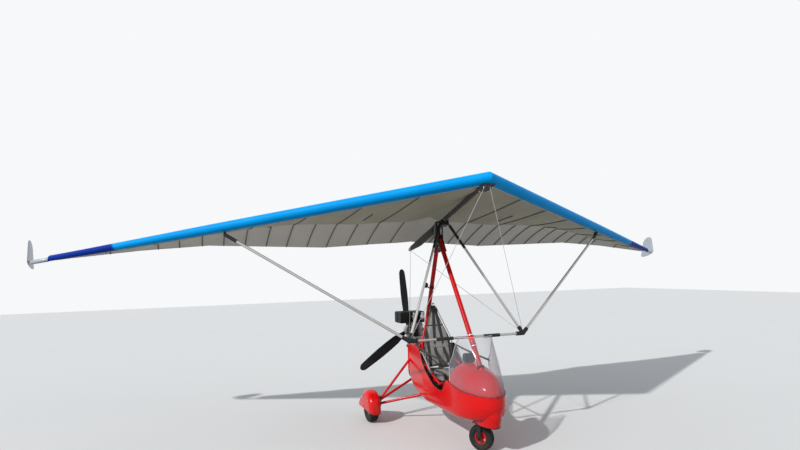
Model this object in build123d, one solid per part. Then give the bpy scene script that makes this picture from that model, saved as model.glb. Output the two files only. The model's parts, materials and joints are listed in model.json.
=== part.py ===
from build123d import *
import math
import os

# A strutted weight-shift microlight: a three-wheeled trike with a glass-fibre pod, a pusher engine
# and a flexible wing that hangs from the mast head on a pitch bolt and rolls about its keel tube.
# Millimetres, +Z up, nose towards -Y, port side towards +X.
# Until the last step the hang bolt stands above y = 0, and y grows towards the tail. Then the model
# moves so that the origin lies below the middle of its box.
# Heights are above the ground that the wheels stand on.

# Clearances
seat_gap = 0.3            # between pieces that seat on each other
moving_gap = 5.0          # between pieces that move past each other
running_gap = 0.05        # radial, shaft in its bearing

# Main frame tubes
hang_height = 2306.0
mast_rake = 22.8          # degrees, foot aft of the head
frame_tube_radius = 27.0
keel_beam_top = 420.0
keel_beam_side = 56.0
keel_beam_overhang = 70.0     # past the mast foot
head_plate_thickness = 8.0
head_plate_drop = 190.0
spacer_radius = 12.0
hang_bolt_radius = 8.0
front_foot_height = 484.0     # of the front tube's lower end
sleeve_wall = 5.0
sleeve_length = 120.0
sleeve_ring_length = 18.0
sleeve_ring_wall = 10.0
sleeve_below_bar = 60.0

# Wing attitude and control frame, along and square to the wing's keel tube
wing_pitch = 14.7             # degrees nose up as it parks
keel_rise = 140.0             # keel tube axis above the hang bolt
keel_front = 1420.0           # nose plate ahead of the hang bolt
keel_back = 995.0             # keel tube end behind the hang bolt
keel_tube_radius = 25.0
apex_forward = 205.0
apex_half_width = 34.0
bar_length = 1400.0
bar_drop = 1455.0             # base bar below the keel tube
bar_forward = 415.0           # base bar ahead of the hang bolt
bar_radius = 14.0
upright_radius = 15.0
grip_radius = 19.0
grip_length = 200.0
grip_centre = 290.0           # from the middle of the bar
corner_radius = 23.0
corner_length = 90.0
strut_radius = 16.0
strut_top_out = 2545.0
strut_top_behind_nose = 1560.0
strut_top_drop = 62.0
strut_cuff_length = 160.0
strut_cuff_wall = 4.0
wire_radius = 2.5

# Sail: leading edge sweep, then the chord and section heights from a table
sweep = 31.15                 # degrees
half_span = 4740.0
tip_tube_length = 240.0       # past the sail's end
sail_end = half_span - tip_tube_length
trailing_thickness = 8.0
nose_drop = 0.28              # share of the nose height that lies below the keel tube's axis
blue_panel_chord = 300.0      # of the leading edge panel, square to the leading edge
sail_stations = [
    # out, chord, trailing edge height, crest height, nose height, underside height
    (0.0, 2360.0, 100.0, 200.0, 125.0, 45.0),
    (sail_end * 0.267, 1874.0, 100.0, 185.0, 120.0, 40.0),
    (sail_end * 0.6, 958.0, 140.0, 175.0, 110.0, 45.0),
    (sail_end * 0.778, 564.0, 110.0, 135.0, 90.0, 35.0),
    (sail_end, 160.0, 50.0, 78.0, 64.0, 18.0),
]
nose_plate_size = (150.0, 190.0, 8.0)
pocket_start = 80.0           # keel pocket, behind the hang bolt
pocket_end_gap = 60.0         # short of the keel tube's end, for the rear stays
pocket_half_width = 32.0
pocket_depth = 62.0
tip_tube_radius = 27.0
fin_height = 295.0
fin_root_chord = 330.0
fin_tip_chord = 190.0
fin_top_forward = 45.0        # top corner ahead of the root
fin_thickness = 12.0

# Wheels and landing gear
wheel_track = 1514.0
main_axle_aft = 560.0
main_tyre = {"radius": 185.0, "width": 120.0, "rim_radius": 88.0}
nose_tyre = {"radius": 136.0, "width": 84.0, "rim_radius": 66.0}
axle_radius = 12.0
gear_tube_radius = 16.0
bracket_size = (44.0, 90.0, 120.0)
bracket_rise = 60.0
gear_upper_mast_height = 980.0
gear_middle_mast_height = 500.0
gear_lower_forward = 440.0    # drag tube's front end ahead of the axle
spat_gap = 26.0               # round the tread
spat_side_gap = 18.0          # beside the tyre
spat_wall = 4.0
spat_lower_cut = 60.0         # spat's lowest edge above the ground

# Nose wheel fork and steering
steering_axis_forward = 1045.0
steering_trail = 45.0
steering_rest_turn = 35.0     # degrees to port, as it is parked
fork_leg_thickness = 12.0
fork_leg_width = 46.0
tow_peg_length = 20.0         # axle ends that a tow bar hooks on
fork_crown_height = 300.0
fork_crown_thickness = 20.0
stem_radius = 17.0
stem_top = 566.0
head_radius = 30.0
head_bottom = 334.0
head_top = 530.0
head_lug_width = 44.0
foot_bar_half_length = 190.0
foot_bar_radius = 12.0

# Pod
pod_wall = 10.0
pod_half_width = 262.0
pod_tail_half_width = 218.0
pod_tail = 610.0
pod_nose = 1345.0             # ahead of the hang bolt
pod_bow_start = 800.0         # where the plan outline starts to close in
pod_floor = 300.0
pod_tube_gap = 3.0            # round each gear tube where it leaves the pod
seam_height = 600.0           # windscreen seam at the nose
seam_rise = 68.0              # seam is this much higher at the windscreen's rear end
door_front = 760.0
sill_height = 540.0           # of the cut-down sides
sill_front = -545.0
sill_back = -430.0
panel_front = -195.0          # tall rear side panels: front corner, then the top edge
panel_front_height = 657.0
panel_top_front = 340.0
panel_top_height = 946.0
panel_tail_height = 885.0
chin_half_width = 118.0
chin_front = 1322.0
chin_back = 960.0
chin_bottom = 288.0
chin_wall = 5.0

# Windscreen, dash cowl and instruments
screen_thickness = 4.0
screen_levels = [
    # height above the nose seam, half width, bow starts forward of the hang bolt, front tip forward
    (-20.0, 259.0, 800.0, 1323.0),
    (280.0, 238.0, 790.0, 1222.0),
    (600.0, 204.0, 850.0, 986.0),
]
screen_rear_edge = [
    # forward of the hang bolt, height, from the seam up
    (726.0, 800.0),
    (745.0, 905.0),
    (812.0, 965.0),
    (888.0, 1154.0),
    (930.0, 1166.0),
]
cowl_height = 266.0
cowl_back = 720.0
cowl_gap = 10.0
cowl_wall = 5.0
board_thickness = 12.0
binnacle = {"width": 118.0, "height": 96.0, "depth": 60.0, "starboard": 10.0}

# Seat
seat_rail_half_width = 178.0
seat_tube_radius = 14.0
seat_width = 400.0
seat_front = -430.0
seat_base_back = 60.0
seat_base_height = 600.0
seat_pad = 85.0
seat_back_foot = 100.0        # rear face of the back cushion at its bottom
seat_back_lean = 15.6         # degrees
seat_back_top = 1465.0
seat_back_pad = 90.0
seat_rail_top = 1300.0

# Engine and propeller
propeller_radius = 870.0
propeller_height = 1045.0
propeller_aft = 1180.0
blade_root_chord = 80.0
blade_chord = 128.0
blade_tip_chord = 92.0
blade_thickness = 20.0
blade_first_angle = 5.0       # of the upper blade from straight up, towards starboard
prop_hub_radius = 62.0
prop_shaft_radius = 16.0
prop_hub_length = 60.0
prop_bolts = {"count": 6, "radius": 4.2, "circle": 75.0}
crankcase = {"width": 170.0, "length": 330.0, "height": 150.0, "bottom": 860.0, "front": 690.0}
cylinder = {"radius": 46.0, "fin_radius": 74.0, "fin_thickness": 5.0, "fin_pitch": 16.0, "fins": 9}
gearbox = {"radius": 86.0, "length": 78.0}
airbox = {"width": 350.0, "length": 250.0, "height": 150.0, "rise": 30.0,
          "starboard": 100.0, "forward": 20.0}
bearer_side = 34.0
bearer_out = 60.0             # from the middle plane
brace_radius = 12.0
fuel_tank = {"width": 340.0, "length": 245.0, "height": 240.0, "bottom": 390.0, "front": 170.0}

wing_place = Pos(0, 0, hang_height) * Rot(-wing_pitch, 0, 0)


def rod(start, end, radius):
    """A round bar between two points."""
    start = Vector(*start)
    run = Vector(*end) - start
    return Solid.make_cylinder(radius, run.length, Plane(origin=start, z_dir=run))


def block(corner, far_corner):
    """A box from two opposite corners."""
    size = [abs(b - a) for a, b in zip(corner, far_corner)]
    middle = [(a + b) / 2 for a, b in zip(corner, far_corner)]
    return Pos(*middle) * Box(*size)


def between(start, end, share):
    """The point that lies the given share of the way along a line."""
    return tuple(a + (b - a) * share for a, b in zip(start, end))


def toward(start, end, length):
    """The point that lies a length along a line."""
    return between(start, end, length / (Vector(*end) - Vector(*start)).length)


def side_profile(points, half_width):
    """A closed outline of (y, z) points, extruded to both sides of the middle plane."""
    outline = Polyline(*[(0, y, z) for y, z in points], close=True)
    return extrude(make_face(outline), amount=half_width, dir=(1, 0, 0), both=True)


def bow_arc(start, half_width, length):
    """Half an ellipse in plan, bulging towards the nose from a line across at `start`."""
    return EllipticalCenterArc((0, start), half_width, length, start_angle=180, arc_size=180)


def joined(pieces):
    """One shape from several that meet."""
    whole = pieces[0]
    for piece in pieces[1:]:
        whole = whole + piece
    return whole


# Frame lines that several pieces share

def mast_point(height):
    """The mast's centre line at a height."""
    return (0.0, (hang_height - height) * math.tan(math.radians(mast_rake)), height)


def bar_from_hang():
    """The base bar's distance forward of and below the hang bolt."""
    pitch = math.radians(wing_pitch)
    drop = bar_drop - keel_rise
    forward = bar_forward * math.cos(pitch) + drop * math.sin(pitch)
    down = drop * math.cos(pitch) - bar_forward * math.sin(pitch)
    return forward, down


def front_tube_angle():
    """Degrees from straight down, so that the tube's sleeve clears the parked base bar."""
    forward, down = bar_from_hang()
    clear = bar_radius + frame_tube_radius + sleeve_wall + moving_gap
    return math.degrees(math.atan2(forward, down) + math.asin(clear / math.hypot(forward, down)))


def front_tube_point(height):
    """The front tube's centre line at a height."""
    return (0.0, -(hang_height - height) * math.tan(math.radians(front_tube_angle())), height)


keel_beam_axis = keel_beam_top - keel_beam_side / 2
mast_foot = mast_point(keel_beam_top)
front_foot = front_tube_point(front_foot_height)


# Trike frame

def keel_beam_block(clearance):
    half = keel_beam_side / 2 + clearance
    front = -steering_axis_forward + head_radius + seat_gap
    back = mast_foot[1] + keel_beam_overhang
    return block((-half, front, keel_beam_axis - half), (half, back, keel_beam_axis + half))


def make_keel_beam():
    return keel_beam_block(0)


def make_mast():
    top = mast_point(hang_height - hang_bolt_radius * 5)
    long_tube = rod(mast_point(keel_beam_top - 60), top, frame_tube_radius)
    above_beam = block((-100, -200, keel_beam_top + seat_gap), (100, 1200, hang_height))
    return long_tube & above_beam - head_spacer(spacer_radius + seat_gap)


def head_plates():
    """The two cheek plates of the mast head, drawn in the middle plane."""
    down_mast = mast_point(hang_height - head_plate_drop)
    down_front = front_tube_point(hang_height - head_plate_drop)
    reach = frame_tube_radius
    outline = [
        (-reach, hang_height + 24),
        (reach, hang_height + 24),
        (down_mast[1] + reach, down_mast[2]),
        (down_mast[1] - reach, down_mast[2] - 10),
        (0, hang_height - head_plate_drop * 0.62),
        (down_front[1] + reach, down_front[2] - 10),
        (down_front[1] - reach, down_front[2]),
    ]
    outer = frame_tube_radius + head_plate_thickness
    plates = side_profile(outline, outer) - side_profile(outline, frame_tube_radius + seat_gap)
    return plates - rod((-60, 0, hang_height), (60, 0, hang_height), hang_bolt_radius + running_gap)


def head_spacer(radius):
    """The tube across the mast head that keeps the cheek plates apart below the hang bolt."""
    width = frame_tube_radius + head_plate_thickness
    height = hang_height - head_plate_drop * 0.45
    return rod((-width, 0, height), (width, 0, height), radius)


def make_mast_head():
    """Cheek plates with their spacer tube."""
    return head_plates() + head_spacer(spacer_radius)


def make_front_tube():
    top = front_tube_point(hang_height - hang_bolt_radius * 5)
    tube = rod(front_tube_point(front_foot_height), top, frame_tube_radius)
    return tube - head_spacer(spacer_radius + seat_gap) - mast_clearance()


def mast_clearance():
    """The mast's own run, a little larger."""
    return rod(mast_point(keel_beam_top - 60), mast_point(hang_height), frame_tube_radius + seat_gap)


def make_front_tube_sleeve():
    """Joint sleeve with a ring at each end, where the front tube takes apart."""
    forward, down = bar_from_hang()
    angle = math.radians(front_tube_angle())
    centre_height = hang_height - math.hypot(forward, down) * math.cos(angle) - sleeve_below_bar
    rise = sleeve_length / 2 * math.cos(angle)
    low = front_tube_point(centre_height - rise)
    high = front_tube_point(centre_height + rise)
    sleeve = rod(low, high, frame_tube_radius + sleeve_wall)
    sleeve = sleeve + rod(low, toward(low, high, sleeve_ring_length), frame_tube_radius + sleeve_ring_wall)
    below = front_tube_point(centre_height - 2 * rise)
    above = front_tube_point(centre_height + 2 * rise)
    return sleeve - rod(below, above, frame_tube_radius + seat_gap)


# Landing gear

def axle_centre(side):
    """Middle of a main wheel, for side 1 (port) or -1 (starboard)."""
    return (side * wheel_track / 2, main_axle_aft, main_tyre["radius"])


def bracket_centre(side):
    out, aft, up = axle_centre(side)
    inboard = main_tyre["width"] / 2 + spat_side_gap + seat_gap + bracket_size[0] / 2
    return (out - side * inboard, aft, up + bracket_rise)


def gear_tube_lines(side):
    """Both ends of the three tubes that brace a wheel, drawn in to the middle plane."""
    out, aft, up = bracket_centre(side)
    inboard = out - side * (bracket_size[0] / 2 + seat_gap)
    upper = mast_point(gear_upper_mast_height)
    middle = mast_point(gear_middle_mast_height)
    lower = (0.0, main_axle_aft - gear_lower_forward, keel_beam_axis)
    return [
        ((inboard, aft - 24, up + 36), upper),
        ((inboard, aft + 22, up + 4), middle),
        ((inboard, aft - 26, up - 26), lower),
    ]


def make_gear_tubes(side):
    """Three tubes that run from the hub bracket to the mast and the keel beam."""
    tubes = []
    for start, end in gear_tube_lines(side):
        outboard = block((0, -hang_height, 0), (side * (abs(start[0]) + seat_gap), hang_height, hang_height))
        long_tube = rod(toward(start, end, -40), end, gear_tube_radius)
        tubes.append((long_tube & outboard) - mast_clearance() - keel_beam_block(seat_gap))
    return joined(tubes)


def make_hub_bracket(side):
    """Welded knuckle with the stub axle that carries a main wheel."""
    out, aft, up = bracket_centre(side)
    x, y, z = (size / 2 for size in bracket_size)
    body = block((out - x, aft - y, up - z), (out + x, aft + y, up + z))
    body = fillet(body.edges().filter_by(Axis.X), 14)
    wheel_out, wheel_aft, wheel_up = axle_centre(side)
    axle_end = wheel_out + side * (main_tyre["width"] / 2 + 6)
    return body + rod((out, wheel_aft, wheel_up), (axle_end, wheel_aft, wheel_up), axle_radius)


def make_tyre(size):
    """A round-shouldered tyre about the X axis, bored for its rim."""
    half = size["width"] / 2
    bead = size["rim_radius"]
    tread = size["radius"]
    outline = Polyline((-half * 0.62, bead), (half * 0.62, bead))
    right = ThreePointArc((half * 0.62, bead), (half, (bead + tread) / 2), (half * 0.55, tread - 6))
    crown = ThreePointArc((half * 0.55, tread - 6), (0, tread), (-half * 0.55, tread - 6))
    left = ThreePointArc((-half * 0.55, tread - 6), (-half, (bead + tread) / 2), (-half * 0.62, bead))
    return revolve(make_face(Curve() + [outline, right, crown, left]), Axis.X)


def make_rim(size, spokes):
    """A dished wheel with flanges, a hub and oval openings, bored for its axle."""
    half = size["width"] / 2 * 0.62
    outer = size["rim_radius"] - seat_gap
    barrel = Rot(0, 90, 0) * (Cylinder(outer, 2 * half) - Cylinder(outer - 8, 2 * half))
    web = Rot(0, 90, 0) * Cylinder(outer - 4, 10)
    hub = Rot(0, 90, 0) * Cylinder(outer * 0.36, 2 * half)
    window_radius = outer * 0.17
    for number in range(spokes):
        angle = 2 * math.pi * number / spokes
        place = Pos(0, outer * 0.63 * math.cos(angle), outer * 0.63 * math.sin(angle))
        web = web - place * (Rot(0, 90, 0) * Cylinder(window_radius, 20))
    wheel = barrel + web + hub
    return wheel - Rot(0, 90, 0) * Cylinder(axle_radius + running_gap, 4 * half)


def make_spat(side):
    """Wheel fairing: a rounded shell over the wheel, open below and slotted for the stub axle."""
    out, aft, up = axle_centre(side)
    reach = main_tyre["radius"] + spat_gap
    half = main_tyre["width"] / 2 + spat_side_gap

    def form(inset):
        radius = reach - inset
        width = half - inset
        drum = Rot(0, 90, 0) * Cylinder(radius, 2 * width)
        drum = fillet(drum.edges().filter_by(GeomType.CIRCLE), width * 0.75)
        return Pos(out, aft, up) * drum

    shell = form(0) - form(spat_wall)
    low = block((out - 300, aft - 400, -200), (out + 300, aft + 400, spat_lower_cut + 60))
    slope = Pos(out + side * half, aft, spat_lower_cut) * Rot(0, -side * 32, 0) * Box(400, 900, 160)
    shell = shell - low - slope
    slot = block((min(out, out - side * 200), aft - axle_radius - 6, -100),
                 (max(out, out - side * 200), aft + axle_radius + 6, up + axle_radius + 6))
    return shell - slot


# Nose wheel, fork and steering. They are drawn straight ahead, then turned as parked.

def turned(shape):
    axis = Axis((0, -steering_axis_forward, 0), (0, 0, 1))
    return shape.rotate(axis, steering_rest_turn)


nose_axle_aft = -steering_axis_forward + steering_trail


def make_nose_fork():
    """Stem, crown, two legs, axle and the foot bar that steers it."""
    leg_inner = nose_tyre["width"] / 2 + 10
    leg_outer = leg_inner + fork_leg_thickness
    axle_height = nose_tyre["radius"]
    crown_top = fork_crown_height
    crown_low = crown_top - fork_crown_thickness
    pieces = [rod((0, -steering_axis_forward, crown_low), (0, -steering_axis_forward, stem_top), stem_radius)]
    pieces.append(block((-leg_outer, -steering_axis_forward - 28, crown_low),
                        (leg_outer, nose_axle_aft + fork_leg_width / 2, crown_top)))
    for side in (-1, 1):
        pieces.append(block((side * leg_inner, nose_axle_aft - fork_leg_width / 2, axle_height - 24),
                            (side * leg_outer, nose_axle_aft + fork_leg_width / 2, crown_top)))
    reach = leg_outer + tow_peg_length
    pieces.append(rod((-reach, nose_axle_aft, axle_height), (reach, nose_axle_aft, axle_height), axle_radius))
    bar_height = stem_top - foot_bar_radius
    pieces.append(rod((-foot_bar_half_length, -steering_axis_forward, bar_height),
                      (foot_bar_half_length, -steering_axis_forward, bar_height), foot_bar_radius))
    return turned(joined(pieces))


def make_steering_head():
    """The bearing tube welded to the front end of the keel beam, for the fork's stem."""
    outer = rod((0, -steering_axis_forward, head_bottom), (0, -steering_axis_forward, head_top), head_radius)
    bore = rod((0, -steering_axis_forward, head_bottom - 20), (0, -steering_axis_forward, head_top + 20),
               stem_radius + running_gap)
    lug = block((-head_lug_width / 2, front_foot[1], front_foot_height - 30),
                (head_lug_width / 2, -steering_axis_forward, front_foot_height + 26))
    below = front_tube_point(front_foot_height - 120)
    tube = rod(below, front_tube_point(hang_height), frame_tube_radius + seat_gap)
    return outer + lug - tube - bore


def make_nose_wheel(shape):
    return turned(Pos(0, nose_axle_aft, nose_tyre["radius"]) * shape)


# Pod

def pod_plan(inset):
    """The pod's plan outline with an elliptical bow, as a tall upright prism."""
    half = pod_half_width - inset
    tail = pod_tail_half_width - inset
    bow_length = pod_nose - pod_bow_start - inset
    bow = bow_arc(-pod_bow_start, half, bow_length)
    sides = Polyline((half, -pod_bow_start), (half, 0), (tail, pod_tail + inset * 3),
                     (-tail, pod_tail + inset * 3), (-half, 0), (-half, -pod_bow_start))
    return extrude(make_face(Curve() + [bow, sides]), amount=hang_height, dir=(0, 0, 1))


def pod_lower_line(inset):
    """Keel line of the pod from the nose seam to the tail, as (y, z) points."""
    return [
        (-pod_nose + 24 + inset, seam_height),
        (-pod_nose + inset, seam_height - 90),
        (-pod_nose + 38 + inset, seam_height - 192),
        (-pod_nose + 190, pod_floor + 22 + inset),
        (-pod_nose + 560, pod_floor + inset),
        (60, pod_floor + 4 + inset),
        (pod_tail - 190, pod_floor + 48 + inset),
        (pod_tail - 10, pod_floor + 180 + inset),
    ]


def pod_upper_line():
    """The pod's top edge from the tail to the nose seam, as (y, z) points."""
    return [
        (pod_tail - 14, panel_tail_height),
        (pod_tail - 60, panel_top_height - 8),
        (panel_top_front, panel_top_height),
        (panel_front, panel_front_height),
        (sill_back, sill_height + 8),
        (sill_front, sill_height),
        (-door_front + 100, seam_height + seam_rise + 24),
        (-door_front, seam_height + seam_rise),
        (-door_front - 240, seam_height + seam_rise * 0.4),
    ]


def make_pod_tub():
    """The pod's lower shell with its cut-down sides and tall rear panels, open at the top and the back."""
    outer = pod_plan(0) & side_profile(pod_lower_line(0) + pod_upper_line(), pod_half_width + 10)
    open_top = panel_top_height + 100
    cavity_line = pod_lower_line(pod_wall)
    cavity_line += [(pod_tail + 60, pod_floor + 300), (pod_tail + 60, open_top)]
    cavity_line.append((-pod_nose + 24 + pod_wall, open_top))
    cavity = pod_plan(pod_wall) & side_profile(cavity_line, pod_half_width + 10)
    shell = outer - cavity - keel_beam_block(seat_gap)
    shell = shell - rod((0, -steering_axis_forward, pod_floor - 50), (0, -steering_axis_forward, head_top),
                        head_radius + moving_gap)
    for side in (-1, 1):
        for start, end in gear_tube_lines(side):
            shell = shell - rod(start, end, gear_tube_radius + pod_tube_gap)
    return shell


def chin_plan(inset):
    """A narrow tall prism with a round front, for the skirt ahead of the nose wheel."""
    half = chin_half_width - inset
    start = -chin_front + 190
    bow = bow_arc(start, half, 190 - inset)
    sides = Polyline((half, start), (half, -chin_back), (-half, -chin_back), (-half, start))
    return extrude(make_face(Curve() + [bow, sides]), amount=hang_height, dir=(0, 0, 1))


def make_pod_chin():
    """Skirt below the nose, ahead of and beside the nose wheel."""
    top_line = [(y, z - seat_gap) for y, z in pod_lower_line(0)[1:5]]
    outline = top_line + [(-chin_back, chin_bottom + 8), (-chin_front + 120, chin_bottom)]
    outline.append((-chin_front - 40, chin_bottom))
    skirt = chin_plan(0) - chin_plan(chin_wall)
    skirt = skirt & side_profile(outline, pod_half_width)
    return skirt - block((-pod_half_width, -chin_back - chin_wall * 2, 0), (pod_half_width, 0, hang_height))


# Windscreen, dash and instruments

def bow_face(half, start, tip, back, height):
    """A level D-shaped face: an elliptical bow ahead of `start`, straight sides back to `back`."""
    bow = bow_arc(start, half, start - tip)
    sides = Polyline((half, start), (half, back), (-half, back), (-half, start))
    return Pos(0, 0, height) * make_face(Curve() + [bow, sides])


def screen_form(inset, back):
    faces = []
    for rise, half, start, tip in screen_levels:
        faces.append(bow_face(half - inset, -start, -tip + inset, back, seam_height + rise))
    return loft(faces)


def make_windscreen():
    """A clear moulded screen that wraps round the nose above the seam."""
    back = -door_front + 160
    shell = screen_form(0, back) - screen_form(screen_thickness, back + 100)
    seam = [(y, z + 1) for y, z in pod_upper_line()[-2:]]
    outline = [(-pod_nose - 100, seam_height + 1), (-pod_nose + 24, seam_height + 1)] + seam[::-1]
    outline += [(-forward, height) for forward, height in screen_rear_edge]
    outline.append((-pod_nose - 100, screen_rear_edge[-1][1] + 8))
    return shell & side_profile(outline, pod_half_width + 100)


def ellipsoid(half_width, half_length, half_height):
    ball = Sphere(1)
    return scale(ball, (half_width, half_length, half_height))


def make_dash_cowl():
    """The red cowl inside the windscreen, a quarter of an ellipsoid, open at the back."""
    half = pod_half_width - cowl_gap
    length = pod_nose - cowl_back - 22 - cowl_gap
    centre = Pos(0, -cowl_back, seam_height + 2)
    shell = centre * (ellipsoid(half, length, cowl_height)
                      - ellipsoid(half - cowl_wall, length - cowl_wall, cowl_height - cowl_wall))
    keep = block((-half - 10, -pod_nose, seam_height + 30), (half + 10, -cowl_back, hang_height))
    tube = rod(front_foot, front_tube_point(seam_height + 2 * cowl_height), frame_tube_radius + 6)
    return shell & keep - tube


def make_instrument_panel():
    """The dash board at the back of the cowl, with the instrument binnacle on top."""
    half = pod_half_width - cowl_gap - cowl_wall - seat_gap
    height = cowl_height - cowl_wall - seat_gap
    face = -cowl_back + seat_gap
    board = Pos(0, -cowl_back, seam_height + 2) * ellipsoid(half, 400, height)
    board = board & block((-half, face - board_thickness, seam_height + 60), (half, face, seam_height + 400))
    low = seam_height + cowl_height + 2 + seat_gap
    middle = -binnacle["starboard"]
    hood = block((middle - binnacle["width"] / 2, face - binnacle["depth"], low),
                 (middle + binnacle["width"] / 2, face + 8, low + binnacle["height"]))
    hood = fillet(hood.edges().filter_by(Axis.Y), 24)
    neck = block((middle - 30, face, seam_height + 200), (middle + 30, face + 8, low + 40))
    return board + hood + neck


# Seat

seat_back_bottom = seat_base_height + seat_pad + 4


def seat_rear(height, behind=0.0):
    """How far aft the back of the seat lies at a height, or a line that far behind it."""
    lean = math.radians(seat_back_lean)
    return seat_back_foot + (height - seat_back_bottom) * math.tan(lean) + behind / math.cos(lean)


def make_seat_frame():
    """Two bent side rails with cross tubes, posts on the keel beam and a stay to the mast."""
    radius = seat_tube_radius
    level = seat_base_height - radius - seat_gap
    behind = radius + seat_gap
    low_y = seat_front + 30
    bend_y = seat_rear(level, behind)
    high_y = seat_rear(seat_rail_top, behind)
    pieces = []
    for side in (-1, 1):
        x = side * seat_rail_half_width
        pieces.append(rod((x, low_y, level), (x, bend_y, level), radius))
        pieces.append(rod((x, bend_y, level), (x, high_y, seat_rail_top), radius))
        pieces.append(Pos(x, bend_y, level) * Sphere(radius))
    for y, z in ((low_y, level), (bend_y, level), (high_y, seat_rail_top)):
        pieces.append(rod((-seat_rail_half_width, y, z), (seat_rail_half_width, y, z), radius))
    for y in (low_y, bend_y):
        pieces.append(rod((0, y, keel_beam_top + seat_gap), (0, y, level), radius))
    pieces.append(rod((0, high_y, seat_rail_top), mast_point(seat_rail_top), radius))
    return joined(pieces) - mast_clearance()


def make_seat_base():
    half = seat_width / 2
    pad = block((-half, seat_front, seat_base_height), (half, seat_base_back, seat_base_height + seat_pad))
    return fillet(pad.edges(), 24)


def make_seat_back():
    """The upright cushion with a rounded head."""
    shoulder = seat_back_top - 110
    top = seat_back_top - 20
    outline = [
        (seat_back_foot - seat_back_pad, seat_back_bottom),
        (seat_back_foot, seat_back_bottom),
        (seat_rear(shoulder), shoulder),
        (seat_rear(top) - 14, top),
        (seat_rear(top) - 44, seat_back_top),
        (seat_rear(top) - seat_back_pad + 4, top),
        (seat_rear(shoulder) - seat_back_pad - 4, shoulder),
    ]
    return side_profile(outline, seat_width / 2)


# Engine

def make_crankcase():
    half = crankcase["width"] / 2
    low = crankcase["bottom"]
    front = crankcase["front"]
    body = block((-half, front, low), (half, front + crankcase["length"], low + crankcase["height"]))
    return fillet(body.edges().filter_by(Axis.Y), 30)


def cylinder_centres():
    front = crankcase["front"]
    return [front + crankcase["length"] * share for share in (0.27, 0.73)]


def cylinder_foot():
    return crankcase["bottom"] + crankcase["height"] + seat_gap


def make_cylinders():
    """Two upright barrels with stacked cooling fins."""
    low = cylinder_foot()
    pieces = []
    for aft in cylinder_centres():
        height = cylinder["fin_pitch"] * cylinder["fins"]
        pieces.append(Pos(0, aft, low + height / 2) * Cylinder(cylinder["radius"], height))
        for number in range(cylinder["fins"]):
            level = low + cylinder["fin_pitch"] * (number + 0.6)
            pieces.append(Pos(0, aft, level) * Cylinder(cylinder["fin_radius"], cylinder["fin_thickness"]))
    return joined(pieces)


def make_airbox():
    """The intake silencer on its two necks above the cylinders."""
    head = cylinder_foot() + cylinder["fin_pitch"] * cylinder["fins"]
    low = head + airbox["rise"]
    middle = sum(cylinder_centres()) / 2 - airbox["forward"]
    half_x, half_y = airbox["width"] / 2, airbox["length"] / 2
    body = block((-half_x - airbox["starboard"], middle - half_y, low),
                 (half_x - airbox["starboard"], middle + half_y, low + airbox["height"]))
    body = fillet(body.edges(), 14)
    for aft in cylinder_centres():
        body = body + Pos(0, aft, (head + seat_gap + low + 20) / 2) * Cylinder(24, low + 20 - head - seat_gap)
    return body


def make_gearbox():
    start = crankcase["front"] + crankcase["length"] + seat_gap
    back = start + gearbox["length"]
    drum = rod((0, start, propeller_height), (0, back, propeller_height), gearbox["radius"])
    lower = rod((0, start, propeller_height - 95), (0, back, propeller_height - 95), 62)
    shaft = rod((0, start, propeller_height), (0, propeller_aft + 20, propeller_height), prop_shaft_radius)
    return drum + lower + shaft


def make_engine_mount():
    """Two bearers clamped to the mast below the engine, with braces from the keel beam's end."""
    top = crankcase["bottom"] - seat_gap
    low = top - bearer_side
    clamp_aft = mast_point(top - bearer_side / 2)[1]
    clamp = block((-bearer_out, clamp_aft - 46, low), (bearer_out, clamp_aft + 46, top))
    start = clamp_aft - 46
    end = crankcase["front"] + crankcase["length"] + 30
    pieces = [clamp]
    for side in (-1, 1):
        x = side * bearer_out
        foot_x = side * (keel_beam_side / 2 + seat_gap + brace_radius)
        pieces.append(block((x - bearer_side / 2, start, low), (x + bearer_side / 2, end, top)))
        foot = (foot_x, mast_foot[1] + 50, keel_beam_axis)
        pieces.append(rod((x, end - 60, top - bearer_side / 2), foot, brace_radius))
    return joined(pieces) - mast_clearance()


def make_propeller_hub():
    """Clamping boss, bored for the shaft and drilled for its bolts."""
    front = propeller_aft - prop_hub_length / 2
    back = propeller_aft + prop_hub_length / 2
    boss = rod((0, front, propeller_height), (0, back, propeller_height), prop_hub_radius)
    bore = prop_shaft_radius + running_gap
    boss = boss - rod((0, front - 10, propeller_height), (0, back + 10, propeller_height), bore)
    for number in range(prop_bolts["count"]):
        angle = 2 * math.pi * number / prop_bolts["count"]
        x = prop_bolts["circle"] / 2 * math.cos(angle)
        z = propeller_height + prop_bolts["circle"] / 2 * math.sin(angle)
        boss = boss - rod((x, front - 10, z), (x, back + 10, z), prop_bolts["radius"])
    return boss


def blade_face(chord, thickness, radius, twist):
    """One flat oval blade section, square to the blade, at a distance from the hub."""
    return Pos(0, 0, radius) * Rot(0, 0, twist) * make_face(Ellipse(chord / 2, thickness / 2).edges())


def make_blade():
    sections = [
        # radius, chord, thickness, twist in degrees
        (prop_hub_radius + seat_gap, blade_root_chord * 0.6, 34.0, 40.0),
        (230.0, blade_chord * 0.94, blade_thickness, 30.0),
        (520.0, blade_chord, blade_thickness * 0.7, 20.0),
        (propeller_radius, blade_tip_chord, blade_thickness * 0.35, 13.0),
    ]
    return loft([blade_face(chord, thick, radius, twist) for radius, chord, thick, twist in sections])


def make_propeller_blades():
    blades = []
    for number in range(3):
        angle = -blade_first_angle + 120 * number
        blades.append(Pos(0, propeller_aft, propeller_height) * Rot(0, angle, 0) * make_blade())
    return joined(blades)


def make_fuel_tank():
    """A moulded tank behind the seat that sits astride the keel beam."""
    half = fuel_tank["width"] / 2
    body = block((-half, fuel_tank["front"], fuel_tank["bottom"]),
                 (half, fuel_tank["front"] + fuel_tank["length"], fuel_tank["bottom"] + fuel_tank["height"]))
    return fillet(body.edges(), 30) - keel_beam_block(seat_gap)


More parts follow.
